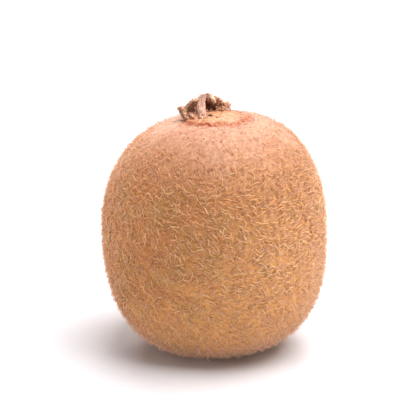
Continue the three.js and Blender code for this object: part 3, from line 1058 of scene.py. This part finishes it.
def grow_down(material):
    random = np.random.default_rng(DOWN_SEED)
    polar, azimuth, at, bare = rooted(DOWN, DOWN_SEED)
    headings = combed(at, azimuth) + ripples(at, DOWN_SWIRLS) + random.normal(0, DOWN_STRAY, DOWN)
    shape = drawn(random, headings, DOWN_BENDS, DOWN_LENGTHS, DOWN_RISES, DOWN_WIDTHS)
    shape["rise"] *= 1 + ripples(at, DOWN_TUFTS)
    shape["rise"] *= 1 - DOWN_BARE_LOWER * bare
    shape["width"] *= 1 - DOWN_BARE_THINNER * bare
    kept = (random.uniform(size=DOWN) > bare * DOWN_BARE_RARER) & clear_of_scar(polar, azimuth)
    build_coat("fine_down", polar, azimuth, kept, shape, DOWN_RINGS, material, True, 1.0)


down_finish = hair_finish(
    "fine_down",
    root=colour(214, 162, 116),
    middle=colour(244, 202, 166),
    light=colour(255, 228, 204),
    pale=colour(236, 198, 170),
    glow=0.5,
    sheen=1.0,
)
grow_down(down_finish)

# %% [markdown]
# The long hairs grow in tufts of four that lean together, which breaks up the outline as on the real
# fruit. Set one by one they would give an even fringe like a brush. They are paler than the wisps and let
# more light through.

# %% The long pale hairs
TUFTS, TUFT_HAIRS, LONG_RINGS, LONG_SEED = 4600, 4, 2, 22
LONG_RISE, TALLER = 1.2, 0.28  # the rise of a middling tuft, and how much more the tallest has
LONG_LENGTHS, LONG_RISE_STRAYS, LONG_WIDTHS = (0.5, 1.3), (-0.14, 0.12), (0.1, 0.17)
LONG_STRAY, LONG_BENDS, TUFT_LEAN = 0.25, (0.4, 0.2), 1.2
LONG_BARE_LOWER, LONG_BARE_THINNER, LONG_BARE_RARER = 0.35, 0.35, 0.8
TUFT_SPREAD = 0.01  # how far apart the roots of a tuft are, as an angle


def grow_long_hairs(material):
    random = np.random.default_rng(LONG_SEED)
    tufts = rooted(TUFTS, LONG_SEED)
    polar, azimuth, at, bare = (np.repeat(values, TUFT_HAIRS, axis=0) for values in tufts)
    count = len(polar)
    lean, tall = (np.repeat(random.uniform(-1, 1, TUFTS), TUFT_HAIRS) for _ in range(2))
    headings = combed(at, azimuth) + TUFT_LEAN * lean + random.normal(0, LONG_STRAY, count)
    shape = drawn(random, headings, LONG_BENDS, LONG_LENGTHS, LONG_RISE_STRAYS, LONG_WIDTHS)
    shape["rise"] += LONG_RISE + TALLER * tall
    shape["rise"] *= 1 - LONG_BARE_LOWER * bare
    shape["width"] *= 1 - LONG_BARE_THINNER * bare
    kept = (random.uniform(size=count) > bare * LONG_BARE_RARER) & clear_of_scar(polar, azimuth)
    polar = np.clip(polar + random.normal(0, TUFT_SPREAD, count), 0.001, math.pi - 0.001)
    azimuth = (azimuth + random.normal(0, TUFT_SPREAD, count) / np.maximum(np.sin(polar), 0.2)) % TURN
    build_coat("long_hair", polar, azimuth, kept, shape, LONG_RINGS, material, True, 1.0)


long_finish = hair_finish(
    "long_hair",
    root=colour(200, 144, 98),
    middle=colour(236, 190, 150),
    light=colour(252, 220, 190),
    pale=colour(236, 196, 168),
    glow=0.45,
    sheen=1.0,
)
grow_long_hairs(long_finish)

# %% [markdown]
# ## The dried calyx
#
# Five green sepals once held the flower. On a picked fruit they are brown, woody scraps that stand on the
# rim of the scar, curled inwards, and here only the ones at the back and the left remain. Each is a thin
# sheet. It could be a plane with a thickness added, but then its fuzz and crumbs wouldn't know where it
# is. So it is a function again, from across and along to a point of its middle surface. First come the
# numbers. All but the shades are the packed solid's own.

# %% The sepals' numbers
CALYX_RADIUS, CALYX_FROM, CALYX_TO = 6.9, math.radians(62), math.radians(199)
BAND_THICKNESS, BAND_ROOT, BAND_RISE, BAND_RIDGE = 0.95, 0.8, 0.5, 0.15
BAND_TAPER, BAND_TAPER_SHARE = 0.3, 1 / 6
SEPAL_FOOT, SEPAL_THICKNESS, SEPAL_WAVE = 0.1, 0.75, 0.25
# Each sepal: its place round the rim in degrees, half width, length, outward lean, inward curl, the notch in
# its top, and how much shorter its clockwise side is.
SEPALS = [
    (187, 1.5, 3.4, 0.9, 0.7, 0.3, 0.0),
    (154, 1.7, 4.8, 0.6, 2.1, 0.25, 0.1),
    (115, 2.5, 5.3, 0.55, 2.2, 0.2, 0.0),
    (84, 2.3, 4.7, 0.45, 2.0, 0.25, 0.5),
]
# Painted shade: how dark the hollow inner side of each sepal is painted, where it lies in shadow.
SEPAL_PAINTED_SHADES = [0.2, 0.4, 1.0, 0.35]  # how dark the hollow side of each sepal is
DICE_SEED = 5


def dice(state=DICE_SEED):
    """The same stream of even numbers, from 0 to 1, as the packed solid's."""
    while True:
        state = state * 16807 % 2147483647
        yield state / 2147483647


print(len(SEPALS), "sepals of five are left")

# %% [markdown]
# A sepal bends inwards like a strip of paper round a pencil. Its middle surface follows an arc of a
# circle, which is worked out from its length and how far it curls. Each one gets its own twist, notches
# and waves.


# %% A sepal's middle surface
def sepal_surface(sepal, throws):
    """A function for the upright point at across, from -1 to 1, and along, from 0 at the foot to 1."""
    degrees, half_width, reach, lean, curl, notch, slope = sepal
    at = math.radians(degrees)
    phase, twist = next(throws) * TURN, 0.5 * (next(throws) - 0.5)
    foot = stem_level(CALYX_RADIUS, at) + SEPAL_FOOT

    def surface(across, along):
        azimuth = at + across * half_width * (1 - 0.45 * along**3) / CALYX_RADIUS
        notched = 1 - notch * (0.5 * across**2 + 0.5 * np.cos(3.4 * across + phase) ** 2)
        length = reach * notched * (1 - slope * (1 - across) / 2) * along
        turn = np.maximum(curl * (1 + twist * across) * along, STILL)
        chord = length * np.sin(turn / 2) / (turn / 2)
        heading = lean - turn / 2
        wave = SEPAL_WAVE * along * np.sin(3 * across + 4 * along + phase)
        out = CALYX_RADIUS + chord * np.sin(heading) + wave
        up = foot + chord * np.cos(heading)
        return np.stack([np.cos(azimuth) * out, np.sin(azimuth) * out, up], -1)

    return surface


def surface_frame(surface, across, along):
    """The standing surface's point, its directions across and along, and its outward direction."""
    step = 0.01
    at = placed(surface(across, along))
    run = placed(surface(across + step, along)) - placed(surface(across - step, along))
    rise = placed(surface(across, along + step)) - placed(surface(across, along - step))
    run, rise = unit(run), unit(rise)
    return at, run, rise, unit(np.cross(rise, run))


throws = dice()
sepal_surfaces = [sepal_surface(sepal, throws) for sepal in SEPALS]
print("the longest sepal is", max(sepal[2] for sepal in SEPALS), "mm from foot to tip")

# %% [markdown]
# A sheet becomes a closed body when a second face is laid at a distance from the first. The packed solid
# has the same sheets in coarse steps. Here they also get crumples, pits and a ragged top, and marks for
# the shader: the rim with its painted highlight, the hollow inner face with its painted shade, and the
# height above the foot.

# %% A sepal's sheet
SEPAL_COLUMNS, SEPAL_ROWS = 44, 40
TORN, TORN_SIZE, TORN_FROM = 0.06, 0.7, 0.4
LOWEST, LONGEST = 0.02, 1.12  # how low a sheet begins, and how far past its tip a torn end may reach
# How far up a sepal its top rim is painted pale as a highlight, and how far out and how far up its side rims
# are.
TOP_RIM, SIDE_RIM, SIDE_RIM_FOOT = (0.66, 0.92), (0.8, 1), (0.1, 0.4)
LIP_SWELLS, LIP_ENDS = (0.55, 0.85), (0.93, 1.05)
FOOT_LOOSENESS, THINNEST, LIP_SHARE = 0.25, 0.75, 0.5
# Each relief: its height, its size and its seed, which is counted from the sepal's own.
CRUMPLES = [(0.14, 2.0, 1), (0.12, 0.9, 2)]
PITS = [(0.07, 0.8, 3), (0.04, 0.4, 6)]
ROLLED_LIP = [(0.3, 1.2, 9)]


def reseeded(layers, seed):
    return [(height, size, number + seed) for height, size, number in layers]


def sepal_sheet(surface, painted_shade, seed):
    """One sepal as a closed sheet, with its rims and its inner face marked."""
    across, along = np.meshgrid(np.linspace(-1, 1, SEPAL_COLUMNS), np.linspace(LOWEST, 1, SEPAL_ROWS))
    torn = TORN * ripple(np.stack([across * 2, along, along], -1), TORN_SIZE, seed)
    stretched = np.clip(along * (1 + torn * smooth(along, TORN_FROM, 1)), LOWEST, LONGEST)
    at, _, _, out = surface_frame(surface, across, stretched)
    loose = (FOOT_LOOSENESS + (1 - FOOT_LOOSENESS) * along)[..., None]
    at = at + out * ripples(at, reseeded(CRUMPLES, seed))[..., None] * loose
    side_rim = smooth(np.abs(across), *SIDE_RIM) * smooth(along, *SIDE_RIM_FOOT)
    rim = np.maximum(smooth(along, *TOP_RIM), side_rim)
    rolled = smooth(along, *LIP_SWELLS) * (1 - smooth(along, *LIP_ENDS))
    lip = 1 + ripples(at, reseeded(ROLLED_LIP, seed))
    half = SEPAL_THICKNESS / 2 * (THINNEST + LIP_SHARE * rolled * lip)
    faces = []
    for side in (-1, 1):
        pits = ripples(at, reseeded(PITS, seed + side))
        faces.append(at + out * (side * half + pits)[..., None])
    inner, outer = faces
    rings = np.concatenate([inner, outer[:, ::-1]], 1)
    marks = {
        "rim": np.concatenate([rim, rim[:, ::-1]], 1),
        "inner": np.concatenate([np.full_like(rim, painted_shade), np.zeros_like(rim)], 1),
        "along": np.concatenate([along, along[:, ::-1]], 1),
    }
    return tube(rings), {title: tube_values(values) for title, values in marks.items()}


print("a sepal's sheet is", SEPAL_COLUMNS, "by", SEPAL_ROWS, "points on each face")

# %% [markdown]
# The sepals have grown together at their feet, in a low wall that follows the rim of the scar. Its section
# is a short outline that is swept round, lower and thinner towards both ends. Each sepal has a seed of its
# own, or their crumples would be alike.

# %% The calyx's mesh
BAND_STEPS, BAND_AROUND = 120, 24
BAND_LUMPS = [(0.08, 0.9, 61)]
SEPAL_SEED, SEED_STEP = 40, 20


def band_wall():
    """The low wall that the sepals stand on, following the rim of the scar."""
    share = np.linspace(0, 1, BAND_STEPS)[:, None]
    azimuth = CALYX_FROM + (CALYX_TO - CALYX_FROM) * share
    ends = np.maximum(0, 1 - np.minimum(share, 1 - share) / BAND_TAPER_SHARE)
    full = 1 - BAND_TAPER * ends**2
    shoulder = BAND_RISE - BAND_RIDGE
    knots = np.array([0, 4, 6, 8, 10, 12]) / 12
    round_it = np.arange(BAND_AROUND)[None] / BAND_AROUND
    side = np.interp(round_it, knots, [1, -1, -1, 0, 1, 1])
    levels = [-BAND_ROOT, -BAND_ROOT, shoulder, BAND_RISE, shoulder, -BAND_ROOT]
    height = np.interp(round_it, knots, levels)
    out = CALYX_RADIUS + side * full * BAND_THICKNESS / 2
    up = stem_level(CALYX_RADIUS, azimuth) + full * height
    rings = placed(np.stack([np.cos(azimuth) * out, np.sin(azimuth) * out, up], -1))
    lumps = ripples(rings, BAND_LUMPS)[..., None] * from_middle(rings)
    flat = np.zeros(rings.shape[:2])
    # Painted highlight: the top of the wall paler, as the sepals' rims are.
    rim = flat + smooth(height, shoulder - 0.1, BAND_RISE) * 0.3
    marks = {"rim": rim, "inner": flat, "along": flat}
    return tube(rings + lumps), {title: tube_values(values) for title, values in marks.items()}


def build_calyx(material):
    made = [band_wall()]
    for number, (surface, painted_shade) in enumerate(zip(sepal_surfaces, SEPAL_PAINTED_SHADES)):
        made.append(sepal_sheet(surface, painted_shade, SEPAL_SEED + SEED_STEP * number))
    points, faces = joined([part for part, _ in made])
    titles = ("rim", "inner", "along")
    stored = {title: np.concatenate([marks[title] for _, marks in made]) for title in titles}
    build_piece("dried_calyx", points, faces, material, ["calyx"], stored)


print("the wall runs over", round(math.degrees(CALYX_TO - CALYX_FROM)), "degrees of the rim")

# %% [markdown]
# The sepals are dead leaf, brown in flakes. Their hollows get painted shade, nearly black, and their rims
# a painted highlight, pale. One brown with a strong lamp would give some of that. The stored marks put
# each colour exactly where it belongs.


# %% The calyx's finish
def calyx_finish():
    finish = Finish("dried_calyx")
    rim, inner, along = finish.stored("rim"), finish.stored("inner"), finish.stored("along")
    flake = finish.noise(0.9, 4, 0.6)
    brown = finish.mix(flake.between(0.35, 0.6), colour(120, 80, 60), colour(190, 140, 110))
    brown = finish.mix(finish.noise(2.4, 2).between(0.5, 0.68), brown, colour(206, 160, 138))
    # Painted shade: the hollow inner sides nearly black, less at the rims.
    brown = finish.mix(inner * 0.7 * (1 - 0.8 * rim), brown, colour(58, 36, 27))
    # Painted highlight: the rims paler, in flakes.
    painted_rim_highlight = finish.mix(flake.between(0.4, 0.6), colour(186, 136, 106), colour(222, 182, 154))
    brown = finish.mix(rim * flake.between(0.3, 0.55), brown, painted_rim_highlight)
    brown = finish.mix(along.between(0.15, 0.0) * 0.5, brown, colour(60, 36, 26))
    return finish.matt(brown, 0.75 + 0.2 * flake, finish.noise(0.35, 4, 0.65), 0.12, 0.8)


build_calyx(calyx_finish())

# %% [markdown]
# The sepals carry short brown fuzz of their own, which makes their rims look crumbly. A bump would show it
# from the front but not at the edge. The hair helper takes any surface, so it is used again here, with
# short hairs that point every way.

# %% Fuzz on the sepals
CALYX_HAIRS = 420  # on each face of each sepal
HAIR_GRID = 2  # the map is a square of this many patches a side, one for each sepal
PATCH_MARGIN, FUZZ_MAP_SCALE = 0.1, 0.05
FUZZ_SEED, FUZZ_RINGS = 70, 2
FUZZ_LENGTHS, FUZZ_RISES, FUZZ_WIDTHS = (0.2, 0.6), (0.12, 0.4), (0.07, 0.15)
FUZZ_BENDS, FUZZ_ACROSS, FUZZ_ALONG = (0.8, 0.4), (-0.98, 0.98), (0.08, 0.99)


def grow_calyx_fuzz(material):
    random = np.random.default_rng(FUZZ_SEED)
    surfaces, charts = [], []
    for number, surface in enumerate(sepal_surfaces):
        across = random.uniform(*FUZZ_ACROSS, 2 * CALYX_HAIRS)
        along = random.uniform(*FUZZ_ALONG, 2 * CALYX_HAIRS) ** 0.8
        at, run, rise, out = surface_frame(surface, across, along)
        side = np.where(np.arange(2 * CALYX_HAIRS) % 2 == 0, 1, -1)[:, None]
        thick = SEPAL_THICKNESS / 2 * (1 - 0.35 * along)[:, None]
        surfaces.append((at + out * side * thick, run, rise, out * side))
        corner = np.array([number % HAIR_GRID, number // HAIR_GRID])
        inside = PATCH_MARGIN + (1 - 2 * PATCH_MARGIN) * np.stack([(across + 1) / 2, along], -1)
        charts.append((corner + inside) / HAIR_GRID)
    surface = tuple(np.concatenate(parts) for parts in zip(*surfaces))
    count = len(surface[0])
    headings = random.uniform(0, TURN, count)
    shape = drawn(random, headings, FUZZ_BENDS, FUZZ_LENGTHS, FUZZ_RISES, FUZZ_WIDTHS)
    stored = {"blush": random.uniform(0, 0.6, count), "bounce_light": np.zeros(count)}
    layout = (np.concatenate(charts), FUZZ_MAP_SCALE, FUZZ_RINGS)
    build_hair("calyx_fuzz", surface, shape, *layout, material, "dried_calyx", stored, True, 1.0)


fuzz_finish = hair_finish(
    "calyx_fuzz",
    root=colour(84, 52, 36),
    middle=colour(140, 94, 66),
    light=colour(196, 148, 112),
    pale=colour(216, 170, 136),
    glow=0.15,
)
grow_calyx_fuzz(fuzz_finish)

# %% [markdown]
# Bits of the sepals and of the torn bark have crumbled off. Some lie heaped between the wall and the
# button, and some hang on the sepals. A physics run could drop them, but it would have to end the same way
# each time. Here each is a small lumpy ball that is set in place, partly sunk in what carries it.

# %% The crumbs' places
# The heaps: from and to an azimuth in degrees, how many, how high they are heaped, and the largest radius.
CRUMB_HEAPS = [(58, 92, 70, 1.7, 0.42), (92, 168, 14, 0.4, 0.3), (168, 206, 24, 0.7, 0.4)]
HEAP_FROM, HEAP_TO = 5.0, 6.5  # between these distances from the button's middle, in millimetres
HEAP_HOLLOW = 1.5  # over 1, a heap is hollow at its foot and steep at the wall
HEAPED_SIZES, HUNG_SIZES = (0.4, 1), (0.45, 1)  # as shares of the largest radius
HUNG_ACROSS, HUNG_ALONG = (-0.95, 0.95), (0.3, 1)
# The lumps where the strip tore loose: x, y and radius, upright.
TORN_LUMPS = [(-3.5, -2.3, 0.6), (-4.3, -1.9, 0.45), (-2.7, -2.5, 0.38), (-4.9, -1.2, 0.35)]
# How many crumbs hang on the rim of each sepal, and the largest radius.
RIM_CRUMBS = [(16, 0.6), (22, 0.34), (26, 0.32), (26, 0.34)]


def heaped_crumbs(random):
    """The middle, upright, and the radius of each crumb in the heaps."""
    for first, last, count, heap, largest in CRUMB_HEAPS:
        for _ in range(count):
            size, up = random.uniform(*HEAPED_SIZES) * largest, random.uniform(0, 1)
            azimuth = math.radians(random.uniform(first, last))
            radius = HEAP_FROM + (HEAP_TO - HEAP_FROM) * (0.25 * random.uniform(0, 1) + 0.75 * up)
            height = stem_level(radius, azimuth) + 0.3 * size + heap * up**HEAP_HOLLOW
            yield np.array([radius * math.cos(azimuth), radius * math.sin(azimuth), height]), size


def torn_lumps():
    for x, y, size in TORN_LUMPS:
        yield np.array([x, y, stem_level(math.hypot(x, y), math.atan2(y, x)) + size * 0.2]), size


def rim_crumbs(random):
    """Crumbs that hang on the sepals, most of them near the top."""
    for surface, (count, largest) in zip(sepal_surfaces, RIM_CRUMBS):
        for _ in range(count):
            across, along = random.uniform(*HUNG_ACROSS), random.uniform(*HUNG_ALONG) ** 0.4
            yield surface(np.array(across), np.array(along)), random.uniform(*HUNG_SIZES) * largest


heaped = sum(heap[2] for heap in CRUMB_HEAPS)
print(heaped, "crumbs are heaped and", sum(count for count, _ in RIM_CRUMBS), "hang on the sepals")

# %% [markdown]
# A crumb is a ball of rings that is squeezed out of round and made lumpy. Copies of one crumb would be
# lighter, but they catch the light alike and the eye finds them, so each is made afresh.

# %% The crumbs' mesh
CRUMB_RINGS, CRUMB_AROUND = 8, 12
CRUMB_LUMPS, CRUMB_LUMP_SIZE, CRUMB_SQUEEZES = 0.25, 1.2, (0.55, 1.1)
CRUMB_SEED, FIRST_LUMP_SEED = 90, 200
CRUMB_PIERCE = 0.15  # the angle from each pole to the nearest ring


def crumb(middle, size, seed, random):
    """A lumpy ball, squeezed by its own amount along three directions of its own."""
    directions, _ = np.linalg.qr(random.normal(size=(3, 3)))
    directions[0] *= np.sign(np.linalg.det(directions))
    squeezed = directions.T @ np.diag(random.uniform(*CRUMB_SQUEEZES, 3)) @ directions
    rise = np.linspace(CRUMB_PIERCE, math.pi - CRUMB_PIERCE, CRUMB_RINGS)
    around = np.linspace(0, TURN, CRUMB_AROUND, endpoint=False)
    rise, around = np.meshgrid(rise, around, indexing="ij")
    out = np.sin(rise)
    ball = np.stack([out * np.cos(around), out * np.sin(around), np.cos(rise)], -1)
    lumpy = ball * (1 + CRUMB_LUMPS * ripple(ball, CRUMB_LUMP_SIZE, seed)[..., None])
    return tube(placed(middle + lumpy @ squeezed * size)[::-1])


def build_crumbs(material):
    random = np.random.default_rng(CRUMB_SEED)
    places = [*heaped_crumbs(random), *torn_lumps(), *rim_crumbs(random)]
    made = []
    for seed, (place, size) in enumerate(places, FIRST_LUMP_SEED):
        made.append(crumb(place, size, seed, random))
    points, faces = joined(made)
    tone = np.concatenate([np.full(len(part), random.uniform(0, 1)) for part, _ in made])
    build_piece("sepal_crumbs", points, faces, material, (), {"tone": tone})


def crumb_finish():
    finish = Finish("sepal_crumbs")
    tone, flake = finish.stored("tone"), finish.noise(0.4, 3)
    bark = finish.mix(tone, colour(188, 136, 110), colour(236, 190, 156))
    bark = finish.mix(flake.between(0.4, 0.65) * 0.6, bark, colour(130, 80, 56))
    return finish.matt(bark, 0.75 + 0.2 * flake, finish.noise(0.25, 3), 0.08, 0.8)


build_crumbs(crumb_finish())

# %% [markdown]
# ## The torn strip of stalk
#
# When the fruit is picked, its stalk snaps off and can leave one strip of its pale inner wood. The strip
# stands on the button and leans back on the sepals. A curve with a bevel would draw it, but evenly. Here a
# section with its own fibres is carried along a smooth line. It is wide where it tore from the button, and
# its end is frayed.

# %% The strip
# Points of the strip's middle line, with their heights over the button where the strip stands.
STRIP_LINE = np.array(
    [[-2.9, -1.5, -0.9], [-3.1, -1.4, 0.4], [-3.6, -0.7, 1.7], [-3.7, 0.9, 3.3], [-3.3, 2.3, 4.2]]
)
STRIP_FOOT, STRIP_WIDTH, STRIP_THICKNESS, STRIP_BOW = 3.2, 1.7, 0.75, 0.15
STRIP_RINGS, STRIP_ACROSS = 70, 24
STRIP_WANDER, STRIP_ROUGH = [(0.07, 1.6, 81)], [(0.05, 0.6, 83)]
STRIP_FRAY, FRAY_FROM = [(0.15, 0.9, 82)], 0.75
FIBRES = [(0.06, 13, 2), (0.04, 29, 0)]  # each set of fibres: its height, how close they lie, and its turn


def strip_line(share):
    """The upright middle line, as one smooth curve through the given points."""
    knots = np.linspace(0, 1, len(STRIP_LINE))
    curves = [np.polyfit(knots, STRIP_LINE[:, axis], len(STRIP_LINE) - 1) for axis in range(3)]
    line = np.stack([np.polyval(curve, share) for curve in curves], -1)
    line[:, 2] += stem_level(math.hypot(*STRIP_LINE[0, :2]), math.pi)
    return line


def strip_section():
    """One trip round the section, out along the back and home along the front, as side and depth."""
    outwards = np.linspace(-1, 1, STRIP_ACROSS)
    side = np.concatenate([outwards, outwards[::-1]])
    face = np.repeat([-1, 1], STRIP_ACROSS)
    rounding = np.sqrt(np.maximum(1 - side**6, 0.02))
    fibres = sum(height * np.sin(count * side + turn) for height, count, turn in FIBRES)
    return side, face * (STRIP_THICKNESS / 2 * rounding + fibres) - STRIP_BOW * (1 - np.abs(side))


def build_strip(material):
    share = np.linspace(0, 1, STRIP_RINGS)
    line = strip_line(share)
    side, depth = strip_section()
    ahead = unit(np.gradient(line, axis=0))
    across = np.array([1.0, 0, 0])
    thick = unit(np.cross(ahead, across))
    width = STRIP_WIDTH + (STRIP_FOOT - STRIP_WIDTH) * (1 - share) ** 4
    wander = 1 + ripples(line, STRIP_WANDER)
    points = line[:, None] + across * (side * (width * wander)[:, None] / 2)[..., None]
    points = points + thick[:, None] * depth[None, :, None]
    fray = ripples(np.stack([side * 2, side * 0, side * 0], -1), STRIP_FRAY)
    points = points + ahead[:, None] * (fray * smooth(share, FRAY_FROM, 1)[:, None])[..., None]
    rings = placed(points)
    rings = rings + ripples(rings, STRIP_ROUGH)[..., None] * from_middle(rings)
    stored = {
        "along": tube_values(np.repeat(share[:, None], len(side), 1)),
        "edge": tube_values(np.repeat(np.abs(side)[None], len(share), 0)),
    }
    points, faces = tube(rings)
    build_piece("stalk_strip", points, faces, material, ["stalk_remnant"], stored)


stretches = np.linalg.norm(np.diff(STRIP_LINE, axis=0), axis=1)
print("the strip's line is", stretches.sum().round(1), "mm long")

# %% [markdown]
# Torn wood is palest in the middle and darker at its edges and its dry end, with a few brown streaks.
# Wood's rings would need a wave texture. So narrow a strip shows none, and noise is enough.


# %% The strip's finish
def strip_finish():
    finish = Finish("pale_stalk")
    along, edge = finish.stored("along"), finish.stored("edge")
    streak = finish.noise(0.8, 3)
    pale = finish.mix(streak.between(0.35, 0.65), colour(210, 172, 152), colour(180, 132, 108))
    pale = finish.mix(edge.between(0.75, 1.0) * 0.5, pale, colour(164, 114, 92))
    pale = finish.mix(along.between(0.5, 0.85) * 0.8, pale, colour(136, 98, 84))
    pale = finish.mix(streak.between(0.62, 0.72) * 0.7, pale, colour(150, 96, 70))
    return finish.matt(pale, 0.7 + 0.15 * streak, finish.noise(0.3, 3), 0.1, 0.6)


build_strip(strip_finish())

# %% [markdown]
# ## The dried styles
#
# Underneath, in the dimple, sits the star of the flower's dried styles on a small pad. It hardly shows, so
# it could be left out, but someone who turns the fruit over expects it. Each style is a tapered tube that
# bends and shrivels a little.

# %% A style
STYLES, STYLE_STRAY, STYLE_SHORTER = 9, 0.35, 0.2
STYLE_REACH, STYLE_DROP, STYLE_FOOT, STYLE_TIP = 2.1, 0.4, 0.42, 0.3
STYLE_RINGS, STYLE_AROUND = 16, 12
STYLE_SWAY, STYLE_SHRIVEL = 0.12, 0.1


def style_tube(azimuth, reach, level, seed):
    share = np.linspace(0, 1, STYLE_RINGS)[:, None]
    around = np.linspace(0, TURN, STYLE_AROUND, endpoint=False)[None]
    fall = math.atan2(STYLE_DROP, reach)
    far = share * reach
    sway = STYLE_SWAY * np.sin(3 * share + seed) * share
    rounding = np.sqrt(np.maximum(1 - share**8, 0.05))
    radius = (STYLE_FOOT + (STYLE_TIP - STYLE_FOOT) * share) * rounding
    radius = radius * (1 + STYLE_SHRIVEL * np.sin(3 * around + 5 * share + seed))
    out = far * math.cos(fall) + radius * np.sin(around) * math.sin(fall)
    aside = sway + radius * np.cos(around)
    up = level - far * math.sin(fall) + radius * np.sin(around) * math.cos(fall)
    x = out * math.cos(azimuth) - aside * math.sin(azimuth)
    y = out * math.sin(azimuth) + aside * math.cos(azimuth)
    return tube(placed(np.stack([x, y, up + 0 * x], -1))[:, ::-1])


print("a style is", STYLE_REACH, "mm long at most")

# %% [markdown]
# The styles are set round the pad like the rays of a star, each with its own small error. The throws come
# from the same dice as the packed solid's, so each style lies where its solid does.

# %% The style tuft
PAD_RADIUS, PAD_ROOT, PAD_THICKNESS = 1.2, 0.5, 0.5
PAD_AROUND = 40
PAD_LUMPS = 0.05


def build_styles(material):
    level = float(upright_skin(np.array([math.pi]), np.array([0.0]))[0, 2])
    rolls = dice()
    parts = []
    for number in range(STYLES):
        azimuth = (number + STYLE_STRAY * next(rolls)) / STYLES * TURN
        reach = STYLE_REACH * (1 - STYLE_SHORTER * next(rolls))
        parts.append(style_tube(azimuth, reach, level - PAD_THICKNESS, number))
    around = np.linspace(0, TURN, PAD_AROUND, endpoint=False)
    heights = np.array([-PAD_THICKNESS, -0.9 * PAD_THICKNESS, -0.5 * PAD_THICKNESS, 0, PAD_ROOT])
    radii = PAD_RADIUS * np.array([0.55, 0.85, 1, 1, 0.95])
    lumpy = 1 + PAD_LUMPS * np.cos(7 * around)
    x, y = np.outer(radii, np.cos(around) * lumpy), np.outer(radii, np.sin(around) * lumpy)
    up = np.repeat((level + heights)[:, None], PAD_AROUND, 1)
    parts.append(tube(placed(np.stack([x, y, up], -1))))
    points, faces = joined(parts)
    build_piece("dried_styles", points, faces, material, ["style_tuft"])


def styles_finish():
    finish = Finish("dried_styles")
    flake = finish.noise(0.7, 4, 0.6)
    brown = finish.mix(flake.between(0.35, 0.65), colour(52, 34, 24), colour(104, 72, 50))
    return finish.matt(brown, 0.8 + 0.15 * flake, finish.noise(0.3, 3), 0.1, 0.7)


build_styles(styles_finish())

# %% [markdown]
# ## The size of the dressed part
#
# Fuzz stands off the solid skin, so the dressed fruit is a little larger than the packed one.
